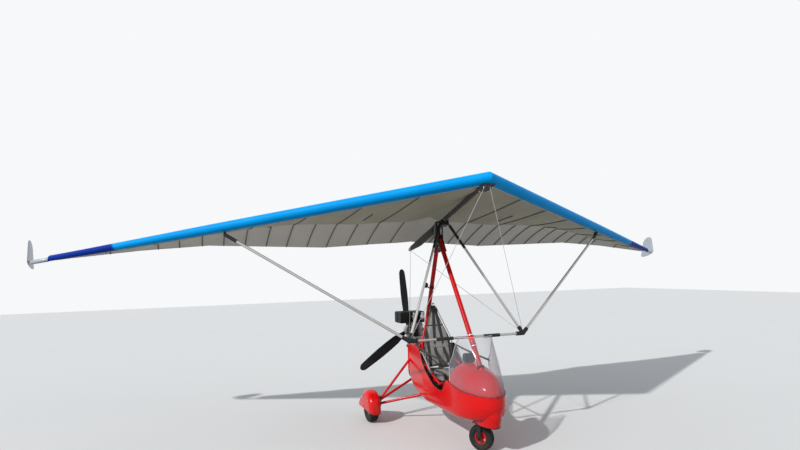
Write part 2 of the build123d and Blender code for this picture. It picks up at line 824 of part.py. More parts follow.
# Wing, drawn about the hang bolt with y along the keel tube, then pitched as parked

def leading_edge(out):
    """Distance of the leading edge behind the hang bolt at a distance out from the keel."""
    return -keel_front + out * math.tan(math.radians(sweep))


def sail_section(side, out, chord, trail_height, crest, nose, under):
    """One upright section of the sail, from three arcs and the short trailing edge."""
    front = leading_edge(out)
    back = front + chord
    low = keel_rise - nose * nose_drop
    high = keel_rise + nose * (1 - nose_drop)
    middle = (low + high) / 2
    turn = front + nose * 0.55
    x = side * out
    tail_high = keel_rise + trail_height + trailing_thickness / 2
    tail_low = keel_rise + trail_height - trailing_thickness / 2
    nose_arc = ThreePointArc((x, turn, low), (x, front, middle), (x, turn, high))
    upper = ThreePointArc((x, turn, high), (x, front + chord * 0.42, keel_rise + crest), (x, back, tail_high))
    tail = Line((x, back, tail_high), (x, back, tail_low))
    lower = ThreePointArc((x, back, tail_low), (x, front + chord * 0.5, keel_rise + under), (x, turn, low))
    return make_face(Curve() + [nose_arc, upper, tail, lower])


def half_sail(side):
    return loft([sail_section(side, *station) for station in sail_stations], ruled=True)


def panel_band(side):
    """An upright prism over the strip of the wing that the blue leading edge panel covers."""
    depth = blue_panel_chord / math.cos(math.radians(sweep))
    points = [(0, leading_edge(0) - 200), (0, leading_edge(0) + depth),
              (side * sail_end * 1.1, leading_edge(sail_end * 1.1) + depth),
              (side * sail_end * 1.1, leading_edge(sail_end * 1.1) - 200)]
    return extrude(make_face(Polyline(*points, close=True)), amount=1000, dir=(0, 0, 1))


def keel_channel():
    radius = keel_tube_radius + seat_gap
    tunnel = rod((0, -keel_front - 100, keel_rise), (0, keel_back + 400, keel_rise), radius)
    return tunnel + block((-radius, -keel_front - 100, keel_rise - 200), (radius, keel_back + 400, keel_rise))


def make_sail():
    sail = half_sail(1) + half_sail(-1)
    return wing_place * (sail - panel_band(1) - panel_band(-1) - keel_channel())


def make_leading_edge(side):
    return wing_place * ((half_sail(side) & panel_band(side)) - keel_channel())


def make_wing_tip(side):
    """Tip tube with the upright end fin."""
    inner = (side * (sail_end - 30), leading_edge(sail_end - 30) + 50, keel_rise + 14)
    outer = (side * half_span, leading_edge(half_span) + 40, keel_rise + 14)
    beyond = block((side * (sail_end + seat_gap), inner[1] - 200, 0),
                   (side * (half_span + 40), outer[1] + 200, keel_rise + fin_height))
    tube = rod(inner, outer, tip_tube_radius) & beyond
    root = leading_edge(half_span) - 10
    x = side * half_span
    low = keel_rise - tip_tube_radius / 2
    top = keel_rise + fin_height
    top_front = root - fin_top_forward
    outline = Polyline((x, root, low), (x, root + fin_root_chord, low),
                       (x, top_front + fin_tip_chord, top), (x, top_front, top), close=True)
    fin = extrude(make_face(outline), amount=fin_thickness / 2, dir=(1, 0, 0), both=True)
    return wing_place * (tube + fin)


def make_keel_tube():
    return wing_place * rod((0, -keel_front + 10, keel_rise), (0, keel_back, keel_rise), keel_tube_radius)


def nose_plate_low():
    """Underside of the nose plate, which lies against the leading edges' underside."""
    nose_height = sail_stations[0][4]
    return keel_rise - nose_height * nose_drop - 2 * seat_gap - nose_plate_size[2]


def make_nose_plate():
    width, length, thick = nose_plate_size
    low = nose_plate_low()
    plate = block((-width / 2, -keel_front + 12, low), (width / 2, -keel_front + 12 + length, low + thick))
    half = keel_tube_radius * 0.8
    hanger = block((-half, -keel_front + 40, low), (half, -keel_front + 120, keel_rise))
    return wing_place * (plate + (hanger - keel_channel_round()))


def make_keel_pocket():
    """The dark fairing that wraps the rear of the keel tube."""
    outer = block((-pocket_half_width, pocket_start, keel_rise - pocket_depth),
                  (pocket_half_width, keel_back - pocket_end_gap, keel_rise + 30))
    return wing_place * (outer - keel_channel_round())


def keel_channel_round():
    radius = keel_tube_radius + seat_gap
    return rod((0, -keel_front - 100, keel_rise), (0, keel_back + 400, keel_rise), radius)


def make_hang_block():
    """The bearing block round the keel tube, with its tang down to the hang bolt and the bolt itself."""
    width = frame_tube_radius * 2 - 6
    collar = rod((0, -62, keel_rise), (0, 62, keel_rise), keel_tube_radius + 14)
    tang = block((-width / 2, -24, -24), (width / 2, 24, keel_rise))
    bore = rod((0, -100, keel_rise), (0, 100, keel_rise), keel_tube_radius + running_gap)
    reach = frame_tube_radius + head_plate_thickness + 12
    bolt = rod((-reach, 0, 0), (reach, 0, 0), hang_bolt_radius)
    return wing_place * (collar + tang - bore + bolt)


def corner_point(side):
    return (side * bar_length / 2, -bar_forward, keel_rise - bar_drop)


def apex_point(side):
    return (side * apex_half_width, -apex_forward, keel_rise)


def make_apex_bracket():
    """Saddle under the keel tube that the two uprights bolt to."""
    low = keel_rise - keel_tube_radius - 46
    half = apex_half_width + 16
    body = block((-half, -apex_forward - 42, low), (half, -apex_forward + 42, keel_rise))
    body = fillet(body.edges().filter_by(Axis.Y), 10)
    return wing_place * (body - keel_channel_round())


def upright_ends(side):
    """Where an upright starts below the apex bracket and where it ends at its corner fitting."""
    top = toward(apex_point(side), corner_point(side), keel_tube_radius + 54)
    low = toward(corner_point(side), apex_point(side), corner_length * 0.5)
    return top, low


def make_upright(side):
    top, low = upright_ends(side)
    return wing_place * rod(top, low, upright_radius)


def make_base_bar():
    reach = bar_length / 2 - corner_length * 0.5
    y, z = -bar_forward, keel_rise - bar_drop
    return wing_place * rod((-reach, y, z), (reach, y, z), bar_radius)


def make_bar_grips():
    y, z = -bar_forward, keel_rise - bar_drop
    grips = []
    for side in (-1, 1):
        start = side * grip_centre - grip_length / 2
        grip = rod((start, y, z), (start + grip_length, y, z), grip_radius)
        grips.append(wing_place * (grip - rod((start - 10, y, z), (start + grip_length + 10, y, z),
                                              bar_radius + seat_gap)))
    return joined(grips)


def nose_height_at(out):
    """Nose height of the sail at a distance out from the keel, between its stations."""
    for (out_a, *_, nose_a, _), (out_b, *_, nose_b, _) in zip(sail_stations, sail_stations[1:]):
        if out_a <= out <= out_b:
            return nose_a + (nose_b - nose_a) * (out - out_a) / (out_b - out_a)


def strut_top(side):
    return (side * strut_top_out, -keel_front + strut_top_behind_nose, keel_rise - strut_top_drop)


def make_corner_fittings():
    """Moulded elbows that hold the bar, an upright and a strut at each lower corner."""
    fittings = []
    for side in (-1, 1):
        corner = corner_point(side)
        inward = (corner[0] - side * corner_length, corner[1], corner[2])
        up = toward(corner, apex_point(side), corner_length)
        out = toward(corner, strut_top(side), corner_length)
        body = Pos(*corner) * Sphere(corner_radius)
        for end in (inward, up, out):
            body = body + rod(corner, end, corner_radius)
        sockets = rod(toward(corner, inward, corner_length * 0.5 - seat_gap), toward(corner, inward, 150),
                      bar_radius + seat_gap)
        sockets = sockets + rod(toward(corner, up, corner_length * 0.5 - seat_gap), toward(corner, up, 150),
                                upright_radius + seat_gap)
        sockets = sockets + rod(toward(corner, out, corner_length * 0.5 - seat_gap), toward(corner, out, 150),
                                strut_radius + seat_gap)
        fittings.append(wing_place * (body - sockets))
    return joined(fittings)


def make_strut(side):
    start = toward(corner_point(side), strut_top(side), corner_length * 0.5)
    return wing_place * rod(start, strut_top(side), strut_radius)


def make_strut_cuffs():
    """Dark sleeves on the struts' upper ends, with the lugs that hang them from the leading edges."""
    cuffs = []
    for side in (-1, 1):
        top = strut_top(side)
        low = toward(top, corner_point(side), strut_cuff_length)
        beyond = toward(top, corner_point(side), -30)
        sleeve = rod(low, toward(top, corner_point(side), -6), strut_radius + seat_gap + strut_cuff_wall)
        lug_height = keel_rise - nose_height_at(strut_top_out) * nose_drop - 2 * seat_gap
        lug = block((top[0] - 13, top[1] - 4, top[2]), (top[0] + 13, top[1] + 46, lug_height))
        cuffs.append(wing_place * (sleeve + lug - rod(low, beyond, strut_radius + seat_gap)))
    return joined(cuffs)


def make_stay_wires():
    """Front stays from the nose plate and rear stays from the keel end, to both lower corners."""
    wires = []
    for side in (-1, 1):
        corner = Vector(*corner_point(side))
        nose = (side * 30, -keel_front + 60, nose_plate_low() - wire_radius)
        tail = (side * (wire_radius + 2), keel_back - 10, keel_rise - keel_tube_radius - wire_radius)
        for end in (nose, tail):
            off_upright = (Vector(*end) - corner).get_angle(Vector(*apex_point(side)) - corner)
            clear = (corner_radius + wire_radius + seat_gap) / math.sin(math.radians(off_upright))
            wires.append(wing_place * rod(toward(corner, end, clear), end, wire_radius))
    return joined(wires)


nodes = {
    "keel_beam": make_keel_beam(),
    "mast": make_mast(),
    "mast_head": make_mast_head(),
    "front_tube": make_front_tube(),
    "front_tube_sleeve": make_front_tube_sleeve(),
    "steering_head": make_steering_head(),
    "nose_fork": make_nose_fork(),
    "nose_tyre": make_nose_wheel(make_tyre(nose_tyre)),
    "nose_rim": make_nose_wheel(make_rim(nose_tyre, 5)),
    "pod_tub": make_pod_tub(),
    "pod_chin": make_pod_chin(),
    "windscreen": make_windscreen(),
    "dash_cowl": make_dash_cowl(),
    "instrument_panel": make_instrument_panel(),
    "seat_frame": make_seat_frame(),
    "seat_base": make_seat_base(),
    "seat_back": make_seat_back(),
    "fuel_tank": make_fuel_tank(),
    "engine_mount": make_engine_mount(),
    "crankcase": make_crankcase(),
    "cylinders": make_cylinders(),
    "airbox": make_airbox(),
    "gearbox": make_gearbox(),
    "propeller_hub": make_propeller_hub(),
    "propeller_blades": make_propeller_blades(),
    "hang_block": make_hang_block(),
    "keel_tube": make_keel_tube(),
    "nose_plate": make_nose_plate(),
    "sail": make_sail(),
    "keel_pocket": make_keel_pocket(),
    "apex_bracket": make_apex_bracket(),
    "base_bar": make_base_bar(),
    "bar_grips": make_bar_grips(),
    "corner_fittings": make_corner_fittings(),
    "stay_wires": make_stay_wires(),
    "strut_cuffs": make_strut_cuffs(),
}
for side, name in ((1, "left"), (-1, "right")):
    nodes["gear_tubes_" + name] = make_gear_tubes(side)
    nodes["hub_bracket_" + name] = make_hub_bracket(side)
    nodes["spat_" + name] = make_spat(side)
    nodes["main_tyre_" + name] = Pos(*axle_centre(side)) * make_tyre(main_tyre)
    nodes["main_rim_" + name] = Pos(*axle_centre(side)) * make_rim(main_tyre, 6)
    nodes["leading_edge_" + name] = make_leading_edge(side)
    nodes["wing_tip_" + name] = make_wing_tip(side)
    nodes["upright_" + name] = make_upright(side)
    nodes["strut_" + name] = make_strut(side)

boxes = [shape.bounding_box() for shape in nodes.values()]
front = min(box.min.Y for box in boxes)
back = max(box.max.Y for box in boxes)
to_origin = Pos(0, -(front + back) / 2, 0)
print("hang bolt ahead of the origin:", round((front + back) / 2, 3))

os.makedirs("parts", exist_ok=True)
for name, shape in nodes.items():
    export_step(to_origin * shape, f"parts/{name}.step")
    print(name)
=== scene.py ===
import json
import math

import bmesh
import bpy
from mathutils import Matrix, Vector


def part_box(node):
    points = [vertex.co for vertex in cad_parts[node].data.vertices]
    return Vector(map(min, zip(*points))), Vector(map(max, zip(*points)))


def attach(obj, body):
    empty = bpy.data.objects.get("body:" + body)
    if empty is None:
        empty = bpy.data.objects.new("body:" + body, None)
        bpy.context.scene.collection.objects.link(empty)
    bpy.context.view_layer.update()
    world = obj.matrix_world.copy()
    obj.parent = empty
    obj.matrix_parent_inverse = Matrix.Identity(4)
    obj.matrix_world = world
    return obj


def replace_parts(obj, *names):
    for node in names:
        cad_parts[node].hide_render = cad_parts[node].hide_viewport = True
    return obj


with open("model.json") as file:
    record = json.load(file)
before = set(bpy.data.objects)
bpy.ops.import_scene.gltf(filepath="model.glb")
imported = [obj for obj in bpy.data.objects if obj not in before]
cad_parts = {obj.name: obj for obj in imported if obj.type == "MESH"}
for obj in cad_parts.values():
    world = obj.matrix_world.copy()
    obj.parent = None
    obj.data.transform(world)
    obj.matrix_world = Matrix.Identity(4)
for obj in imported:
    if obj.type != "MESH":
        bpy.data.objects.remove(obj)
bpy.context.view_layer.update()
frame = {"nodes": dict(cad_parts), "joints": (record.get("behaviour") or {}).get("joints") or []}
parts = frame["nodes"]
hangBolt = Vector(next(joint["pos_m"] for joint in frame["joints"] if joint["name"] == "wing_pitch"))
print("frame loaded with", len(parts), "parts")

# the trike's main measures, in metres and degrees
trikeSize = {"hang": 2.306, "mastLean": 22.8, "frontLean": 34.33, "post": -1.045, "hood": -0.720}
frontLean = math.radians(trikeSize["frontLean"])
frontSlope = Vector((0, -math.sin(frontLean), -math.cos(frontLean)))

# camera at the photograph's viewpoint, in metres from below the hang bolt
view = {"place": (-2.80, -6.33, 1.90), "heading": (0.3405, 0.9403), "pitchUp": 4.66, "roll": -1.474,
        "lens": 24.858}


def placeCamera():
    data = bpy.data.cameras.new("viewpoint")
    data.lens, data.sensor_width = view["lens"], 36
    data.clip_start, data.clip_end = 0.05, 500
    camera = bpy.data.objects.new("viewpoint", data)
    bpy.context.scene.collection.objects.link(camera)
    pitch = math.radians(view["pitchUp"])
    east, north = view["heading"]
    ahead = Vector((east * math.cos(pitch), north * math.cos(pitch), math.sin(pitch)))
    right = Vector((north, -east, 0))
    roll = Matrix.Rotation(math.radians(view["roll"]), 3, "Z")
    turn = Matrix((right, right.cross(ahead), -ahead)).transposed() @ roll
    camera.matrix_world = Matrix.Translation(trike(*view["place"])) @ turn.to_4x4()
    bpy.context.scene.camera = camera


def trike(x, y, z):  # a point measured from below the hang bolt
    return Vector((x, hangBolt.y + y, z))


wingTurn = Matrix.Translation(hangBolt) @ Matrix.Rotation(math.radians(-14.7), 4, "X")


def wing(x, y, z):  # a point measured along and square to the keel tube
    return wingTurn @ Vector((x, y, z))


placeCamera()


# mesh helpers
def mix(a, b, share):
    return a + (b - a) * share


def smooth(share):
    share = min(1.0, max(0.0, share))
    return share * share * (3 - 2 * share)


def table(rows, at):  # straight lines between rows of (at, value, ...)
    if at <= rows[0][0]:
        return rows[0][1:]
    for first, second in zip(rows, rows[1:]):
        if at <= second[0]:
            share = (at - first[0]) / (second[0] - first[0])
            return tuple(mix(a, b, share) for a, b in zip(first[1:], second[1:]))
    return rows[-1][1:]


def curveThrough(points, steps=8):  # an even curve through every point
    out = []
    for n in range(len(points) - 1):
        p1, p2 = points[n], points[n + 1]
        p0 = points[n - 1] if n else p1 * 2 - p2
        p3 = points[n + 2] if n + 2 < len(points) else p2 * 2 - p1
        for step in range(steps):
            t = step / steps
            out.append(((p1 * 2) + (p2 - p0) * t + (p0 * 2 - p1 * 5 + p2 * 4 - p3) * t * t
                        + (p1 * 3 - p0 - p2 * 3 + p3) * t ** 3) * 0.5)
    return out + [points[-1]]


def addPiece(name, verts, faces, finish, body, uvs=None, smoothed=True, angle=None):
    mesh = bpy.data.meshes.new(name)
    mesh.from_pydata([tuple(v) for v in verts], [], faces)
    piece = bpy.data.objects.new(name, mesh)
    bpy.context.scene.collection.objects.link(piece)
    for one in finish if isinstance(finish, (list, tuple)) else [finish]:
        mesh.materials.append(one)
    if uvs:
        layer = mesh.uv_layers.new(name="UVMap")
        for loop in mesh.loops:
            layer.data[loop.index].uv = uvs[loop.vertex_index]
    mesh.shade_smooth() if smoothed else mesh.shade_flat()
    if angle is not None:
        mesh.set_sharp_from_angle(angle=math.radians(angle))
    mesh.update()
    return settle(piece, body) if body else piece


def gridFaces(rows, columns, across=False):
    faces = []
    for row in range(rows - 1):
        for column in range(columns if across else columns - 1):
            a, b = row * columns, (row + 1) * columns
            c, d = column, (column + 1) % columns
            faces.append((a + c, a + d, b + d, b + c))
    return faces


def closedFaces(rows, columns):  # loops one after another, with both ends closed
    last = (rows - 1) * columns
    return gridFaces(rows, columns, across=True) + [tuple(range(columns))[::-1],
                                                    tuple(last + n for n in range(columns))]


def skin(name, rows, finish, body, across=False, uvs=None):
    verts = [p for row in rows for p in row]
    return addPiece(name, verts, gridFaces(len(rows), len(rows[0]), across), finish, body, uvs=uvs)


def form(name, loops, finish, body=None, angle=None):  # a solid from loops one after another
    verts = [p for loop in loops for p in loop]
    return addPiece(name, verts, closedFaces(len(loops), len(loops[0])), finish, body, angle=angle)


def bake(piece):  # what the modifiers make, as a plain mesh
    bpy.context.view_layer.update()
    made = bpy.data.meshes.new_from_object(piece.evaluated_get(bpy.context.evaluated_depsgraph_get()))
    old = piece.data
    piece.modifiers.clear()
    piece.data = made
    bpy.data.meshes.remove(old)


def modify(piece, kind, **settings):
    made = piece.modifiers.new(kind.lower(), kind)
    for key, value in settings.items():
        setattr(made, key, value)
    return piece


def reshape(piece, change):  # an edit of the piece's own mesh
    work = bmesh.new()
    work.from_mesh(piece.data)
    change(work)
    work.to_mesh(piece.data)
    work.free()
    return piece


def outward(piece):  # merged doubles, faces to the outside
    def change(work):
        bmesh.ops.remove_doubles(work, verts=work.verts, dist=1e-5)
        bmesh.ops.recalc_face_normals(work, faces=work.faces)
    return reshape(piece, change)


def cutFaces(piece, unwanted):  # leaves out the faces whose middle is unwanted
    def change(work):
        gone = [face for face in work.faces if unwanted(face.calc_center_median())]
        bmesh.ops.delete(work, geom=gone, context="FACES")
    return reshape(piece, change)


def settle(piece, body, node=None):  # the body it rides on and the frame's node it stands for
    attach(piece, body)
    if node:
        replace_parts(piece, node)
    return piece


def around(count):  # angles once round
    return [2 * math.pi * n / count for n in range(count)]


hands = ((1, "Left"), (-1, "Right"))


def joinPieces(name, pieces, body=None, angle=40):  # one object from several on the same body
    verts, faces, slots, finishes = [], [], [], []
    for piece in pieces:
        base = len(verts)
        verts += [v.co.copy() for v in piece.data.vertices]
        lookup = []
        for one in piece.data.materials:
            if one not in finishes:
                finishes.append(one)
            lookup.append(finishes.index(one))
        for face in piece.data.polygons:
            faces.append([base + v for v in face.vertices])
            slots.append(lookup[face.material_index] if lookup else 0)
    mesh = bpy.data.meshes.new(name)
    mesh.from_pydata([tuple(v) for v in verts], [], faces)
    for one in finishes:
        mesh.materials.append(one)
    mesh.polygons.foreach_set("material_index", slots)
    mesh.shade_smooth()
    mesh.set_sharp_from_angle(angle=math.radians(angle))
    for piece in pieces:
        bpy.data.objects.remove(piece)
    whole = bpy.data.objects.new(name, mesh)
    bpy.context.scene.collection.objects.link(whole)
    return settle(whole, body) if body else whole


def mm(*profile):  # radius and height rows, from millimetres
    return [(radius / 1000, height / 1000) for radius, height in profile]


def lathe(name, profile, centre, axis, finish, body, sides=32, angle=35):
    axis = Vector(axis).normalized()
    turn = axis.to_track_quat("Z", "Y").to_matrix()
    rows = []
    for radius, height in profile:
        rows.append([Vector(centre) + turn @ Vector((radius * math.cos(a), radius * math.sin(a), height))
                     for a in around(sides)])
    piece = skin(name, rows, finish, body, across=True)
    return outward(setSharp(piece, angle))


def setSharp(piece, angle):
    piece.data.set_sharp_from_angle(angle=math.radians(angle))
    return piece


# geometry node trees for what follows a path or repeats
def newTree(name, inputs):
    tree = bpy.data.node_groups.new(name, "GeometryNodeTree")
    ids = {}
    tree.interface.new_socket(name="Geometry", in_out="INPUT", socket_type="NodeSocketGeometry")
    for title, kind, value in inputs:
        made = tree.interface.new_socket(name=title, in_out="INPUT", socket_type="NodeSocket" + kind)
        if value is not None:
            made.default_value = value
        ids[title] = made.identifier
    tree.interface.new_socket(name="Geometry", in_out="OUTPUT", socket_type="NodeSocketGeometry")
    return tree, ids, tree.nodes.new("NodeGroupInput"), tree.nodes.new("NodeGroupOutput")


def linkAll(tree, links):
    for source, output, target, socket in links:
        tree.links.new(source.outputs[output], target.inputs[socket])


def makeTubeTree():
    tree, ids, start, end = newTree("tubeAlongPath", [("Radius", "Float", 0.01), ("Sides", "Int", 16),
                                                     ("Finish", "Material", None)])
    toCurve = tree.nodes.new("GeometryNodeMeshToCurve")
    ring = tree.nodes.new("GeometryNodeCurvePrimitiveCircle")
    sweep = tree.nodes.new("GeometryNodeCurveToMesh")
    sweep.inputs["Fill Caps"].default_value = True
    colour = tree.nodes.new("GeometryNodeSetMaterial")
    linkAll(tree, [(start, "Geometry", toCurve, "Mesh"), (start, "Radius", ring, "Radius"),
                   (start, "Sides", ring, "Resolution"), (toCurve, "Curve", sweep, "Curve"),
                   (ring, "Curve", sweep, "Profile Curve"), (sweep, "Mesh", colour, "Geometry"),
                   (start, "Finish", colour, "Material"), (colour, "Geometry", end, "Geometry")])
    return tree, ids


def makeRepeatTree():  # one shape on every face of a mesh, turned by the face's own normal
    tree, ids, start, end = newTree("repeatOnFaces", [("Shape", "Object", None), ("Size", "Float", 1.0),
                                                      ("Finish", "Material", None)])
    info = tree.nodes.new("GeometryNodeObjectInfo")
    normal = tree.nodes.new("GeometryNodeInputNormal")
    turn = tree.nodes.new("FunctionNodeAlignRotationToVector")
    turn.axis = "Z"
    keep = tree.nodes.new("GeometryNodeCaptureAttribute")
    keep.capture_items.new("VECTOR", "Turn")
    keep.domain = "FACE"
    points = tree.nodes.new("GeometryNodeMeshToPoints")
    points.mode = "FACES"
    place = tree.nodes.new("GeometryNodeInstanceOnPoints")
    real = tree.nodes.new("GeometryNodeRealizeInstances")
    colour = tree.nodes.new("GeometryNodeSetMaterial")
    linkAll(tree, [(start, "Geometry", keep, "Geometry"), (normal, "Normal", keep, "Turn"),
                   (keep, "Geometry", points, "Mesh"), (keep, "Turn", turn, "Vector"),
                   (start, "Shape", info, "Object"), (points, "Points", place, "Points"),
                   (info, "Geometry", place, "Instance"), (turn, "Rotation", place, "Rotation"),
                   (start, "Size", place, "Scale"), (place, "Instances", real, "Geometry"),
                   (real, "Geometry", colour, "Geometry"), (start, "Finish", colour, "Material"),
                   (colour, "Geometry", end, "Geometry")])
    return tree, ids


tubeTree, tubeIds = makeTubeTree()


def tubes(name, paths, radius, finish, body, sides=16, closed=False):
    verts, edges = [], []
    for path in paths:
        base = len(verts)
        verts += [tuple(p) for p in path]
        edges += [(base + n, base + n + 1) for n in range(len(path) - 1)]
        if closed:
            edges.append((base + len(path) - 1, base))
    mesh = bpy.data.meshes.new(name)
    mesh.from_pydata(verts, edges, [])
    piece = bpy.data.objects.new(name, mesh)
    bpy.context.scene.collection.objects.link(piece)
    grow = piece.modifiers.new("tube", "NODES")
    grow.node_group = tubeTree
    grow[tubeIds["Radius"]] = radius
    grow[tubeIds["Sides"]] = sides
    grow[tubeIds["Finish"]] = finish
    bake(piece)
    piece.data.shade_smooth()
    return settle(setSharp(piece, 50), body)


# shader maths: a socket with arithmetic
class Flow:
    def __init__(self, tree, socket=None):
        self.tree, self.socket = tree, socket

    def node(self, kind, settings=(), inputs=(), out=0):
        made = self.tree.nodes.new(kind)
        for key, value in dict(settings).items():
            setattr(made, key, value)
        for key, value in dict(inputs).items():
            if isinstance(value, Flow):
                self.tree.links.new(value.socket, made.inputs[key])
            else:
                made.inputs[key].default_value = value
        return Flow(self.tree, made.outputs[out])

    def maths(self, operation, other=None):
        inputs = {0: self} if other is None else {0: self, 1: other}
        return self.node("ShaderNodeMath", {"operation": operation}, inputs)

    def __add__(self, other):
        return self.maths("ADD", other)

    def __sub__(self, other):
        return self.maths("SUBTRACT", other)

    def __rsub__(self, other):
        return self.node("ShaderNodeMath", {"operation": "SUBTRACT"}, {0: other, 1: self})

    def __mul__(self, other):
        return self.maths("MULTIPLY", other)

    __radd__ = __add__
    __rmul__ = __mul__

    def above(self, edge, softness):  # 0 below the edge and 1 above it
        return self.node("ShaderNodeMapRange", {"clamp": True},
                         {0: self, 1: edge - softness, 2: edge + softness})

    def noise(self, scale, detail=3.0, roughness=0.55):
        return self.node("ShaderNodeTexNoise", {}, {"Vector": self, "Scale": scale, "Detail": detail,
                                                    "Roughness": roughness})

    def colours(self, low, high):
        return self.node("ShaderNodeMix", {"data_type": "RGBA"}, {0: self, 6: (*low, 1), 7: (*high, 1)}, out=2)

    def over(self, under, colour):  # self as the mask that lays a colour over another
        top = colour if isinstance(colour, Flow) else (*colour, 1)
        return self.node("ShaderNodeMix", {"data_type": "RGBA"}, {0: self, 6: under, 7: top}, out=2)

    def stretch(self, scale):
        return self.node("ShaderNodeMapping", {}, {"Vector": self, "Scale": scale})

    def split(self, part):
        return self.node("ShaderNodeSeparateXYZ", {}, {0: self}, out=part)

    def bump(self, strength, distance):
        return self.node("ShaderNodeBump", {}, {"Height": self, "Strength": strength, "Distance": distance})


def newFinish(name, colour, roughness, fixed=()):
    material = bpy.data.materials.new(name)
    material.use_nodes = True
    tree = material.node_tree
    shader = tree.nodes["Principled BSDF"]
    for key, value in dict(fixed).items():
        shader.inputs[key].default_value = value
    where = Flow(tree).node("ShaderNodeTexCoord", out=3)
    shader.inputs["Base Color"].default_value = (*colour, 1)
    shader.inputs["Roughness"].default_value = roughness
    return material, where, shader


def feed(flow, shader, key):
    flow.tree.links.new(flow.socket, shader.inputs[key])


def paint(name, colour, shade, look):  # colour clouds, dust and chips over a base
    fixed = {"Metallic": look.get("metal", 0.0), "Coat Weight": look.get("coat", 0.0),
             "Coat Roughness": look.get("coatRough", 0.08), "Specular IOR Level": look.get("shine", 0.5)}
    material, where, shader = newFinish(name, colour, 0.5, fixed)
    clouds = where.noise(look.get("cloudScale", 3.0), 4.0)
    base = clouds.above(0.5, 0.22).colours(colour, shade)
    if look.get("dust"):
        level = where.split(2)
        low = 1 - level.above(look.get("dustTop", 0.35), look.get("dustTop", 0.35) * 0.9)
        dust = low * where.noise(38.0, 5.0, 0.7).above(0.5, 0.14) * look["dust"]
        base = dust.over(base, (0.36, 0.30, 0.20))
    if look.get("wear"):
        worn = where.noise(look.get("wearScale", 60.0), 6.0, 0.7).above(0.72, 0.02) * look["wear"]
        base = worn.over(base, look.get("wearColour", (0.5, 0.5, 0.5)))
    feed(base, shader, "Base Color")
    spread = 0.12
    rough = where.noise(look.get("roughScale", 14.0), 4.0) * spread + (look["rough"] - spread * 0.5)
    feed(rough, shader, "Roughness")
    grain = where.noise(look.get("grainScale", 260.0), 2.0)
    feed(grain.bump(look.get("bump", 0.12), look.get("bumpDepth", 0.0006)), shader, "Normal")
    return material


def cloth(name, colour, shade, look):  # a plain weave with soft clouds of wear
    material, where, shader = newFinish(name, colour, 0.8, {"Sheen Weight": look.get("sheen", 0.15),
                                                            "Sheen Roughness": 0.5})
    across, up = ((where.split(axis) * (6.2832 / look["pitch"])).maths("SINE") for axis in (0, 2))
    threads = across * up
    clouds = where.noise(look.get("cloudScale", 5.0), 5.0, 0.6)
    base = clouds.above(0.5, 0.25).colours(colour, shade)
    base = (threads.above(0.2, 0.8) * 0.25).over(base, tuple(c * 0.6 for c in colour))
    feed(base, shader, "Base Color")
    feed(where.noise(30.0) * 0.12 + 0.72, shader, "Roughness")
    feed((threads * 0.5 + where.noise(90.0) * 0.6).bump(look.get("bump", 0.25), 0.0006), shader, "Normal")
    return material


redTube = paint("redTube", (0.70, 0.005, 0.006), (0.60, 0.004, 0.006),
                {"rough": 0.30, "coat": 0.05, "shine": 0.2, "bump": 0.05, "dust": 0.2, "dustTop": 0.18,
                 "wear": 0.4, "wearColour": (0.35, 0.30, 0.29), "wearScale": 42.0})
redGel = paint("redGel", (0.82, 0.004, 0.004), (0.73, 0.003, 0.005),
               {"rough": 0.20, "coat": 0.12, "shine": 0.2, "coatRough": 0.05, "bump": 0.04, "grainScale": 90.0,
                "dust": 0.22, "dustTop": 0.15, "cloudScale": 2.2})
linerBlack = paint("linerBlack", (0.016, 0.016, 0.018), (0.028, 0.026, 0.026),
                   {"rough": 0.62, "bump": 0.3, "grainScale": 420.0, "dust": 0.6, "dustTop": 0.4})
blackCoat = paint("blackCoat", (0.012, 0.012, 0.013), (0.020, 0.020, 0.022),
                  {"rough": 0.42, "shine": 0.2, "bump": 0.16, "grainScale": 600.0, "dust": 0.12,
                   "dustTop": 0.2, "wear": 0.4})
blackMould = paint("blackMould", (0.010, 0.010, 0.012), (0.018, 0.018, 0.019),
                   {"rough": 0.55, "shine": 0.25, "bump": 0.25, "grainScale": 700.0})
silverTube = paint("silverTube", (0.52, 0.51, 0.49), (0.45, 0.44, 0.43),
                   {"metal": 0.55, "rough": 0.38, "roughScale": 40.0, "bump": 0.05, "wear": 0.25,
                    "wearColour": (0.5, 0.5, 0.52)})
steel = paint("steel", (0.62, 0.62, 0.64), (0.50, 0.50, 0.52),
              {"metal": 1.0, "rough": 0.30, "bump": 0.08, "wear": 0.4, "wearColour": (0.28, 0.24, 0.2)})
castAlloy = paint("castAlloy", (0.42, 0.42, 0.43), (0.30, 0.30, 0.31),
                  {"metal": 0.8, "rough": 0.5, "bump": 0.4, "grainScale": 380.0, "bumpDepth": 0.001,
                   "dust": 0.0, "wear": 0.6, "wearColour": (0.12, 0.10, 0.08), "wearScale": 22.0})
brightAlloy = paint("brightAlloy", (0.74, 0.74, 0.75), (0.62, 0.62, 0.63),
                    {"metal": 0.9, "rough": 0.28, "bump": 0.1, "grainScale": 300.0})
bladeBlack = paint("bladeBlack", (0.012, 0.012, 0.014), (0.022, 0.022, 0.025),
                   {"rough": 0.32, "shine": 0.14, "bump": 0.06, "wear": 0.5, "wearScale": 70.0,
                    "wearColour": (0.10, 0.10, 0.10)})
rubber = paint("rubber", (0.014, 0.014, 0.015), (0.026, 0.025, 0.024),
               {"rough": 0.72, "shine": 0.2, "bump": 0.4, "grainScale": 320.0, "dust": 0.14, "dustTop": 0.08})
gripFoam = paint("gripFoam", (0.014, 0.014, 0.015), (0.024, 0.024, 0.025),
                 {"rough": 0.85, "bump": 0.6, "grainScale": 500.0, "bumpDepth": 0.001})
tankPlastic = paint("tankPlastic", (0.70, 0.67, 0.56), (0.62, 0.58, 0.46),
                    {"rough": 0.42, "bump": 0.15, "grainScale": 200.0})
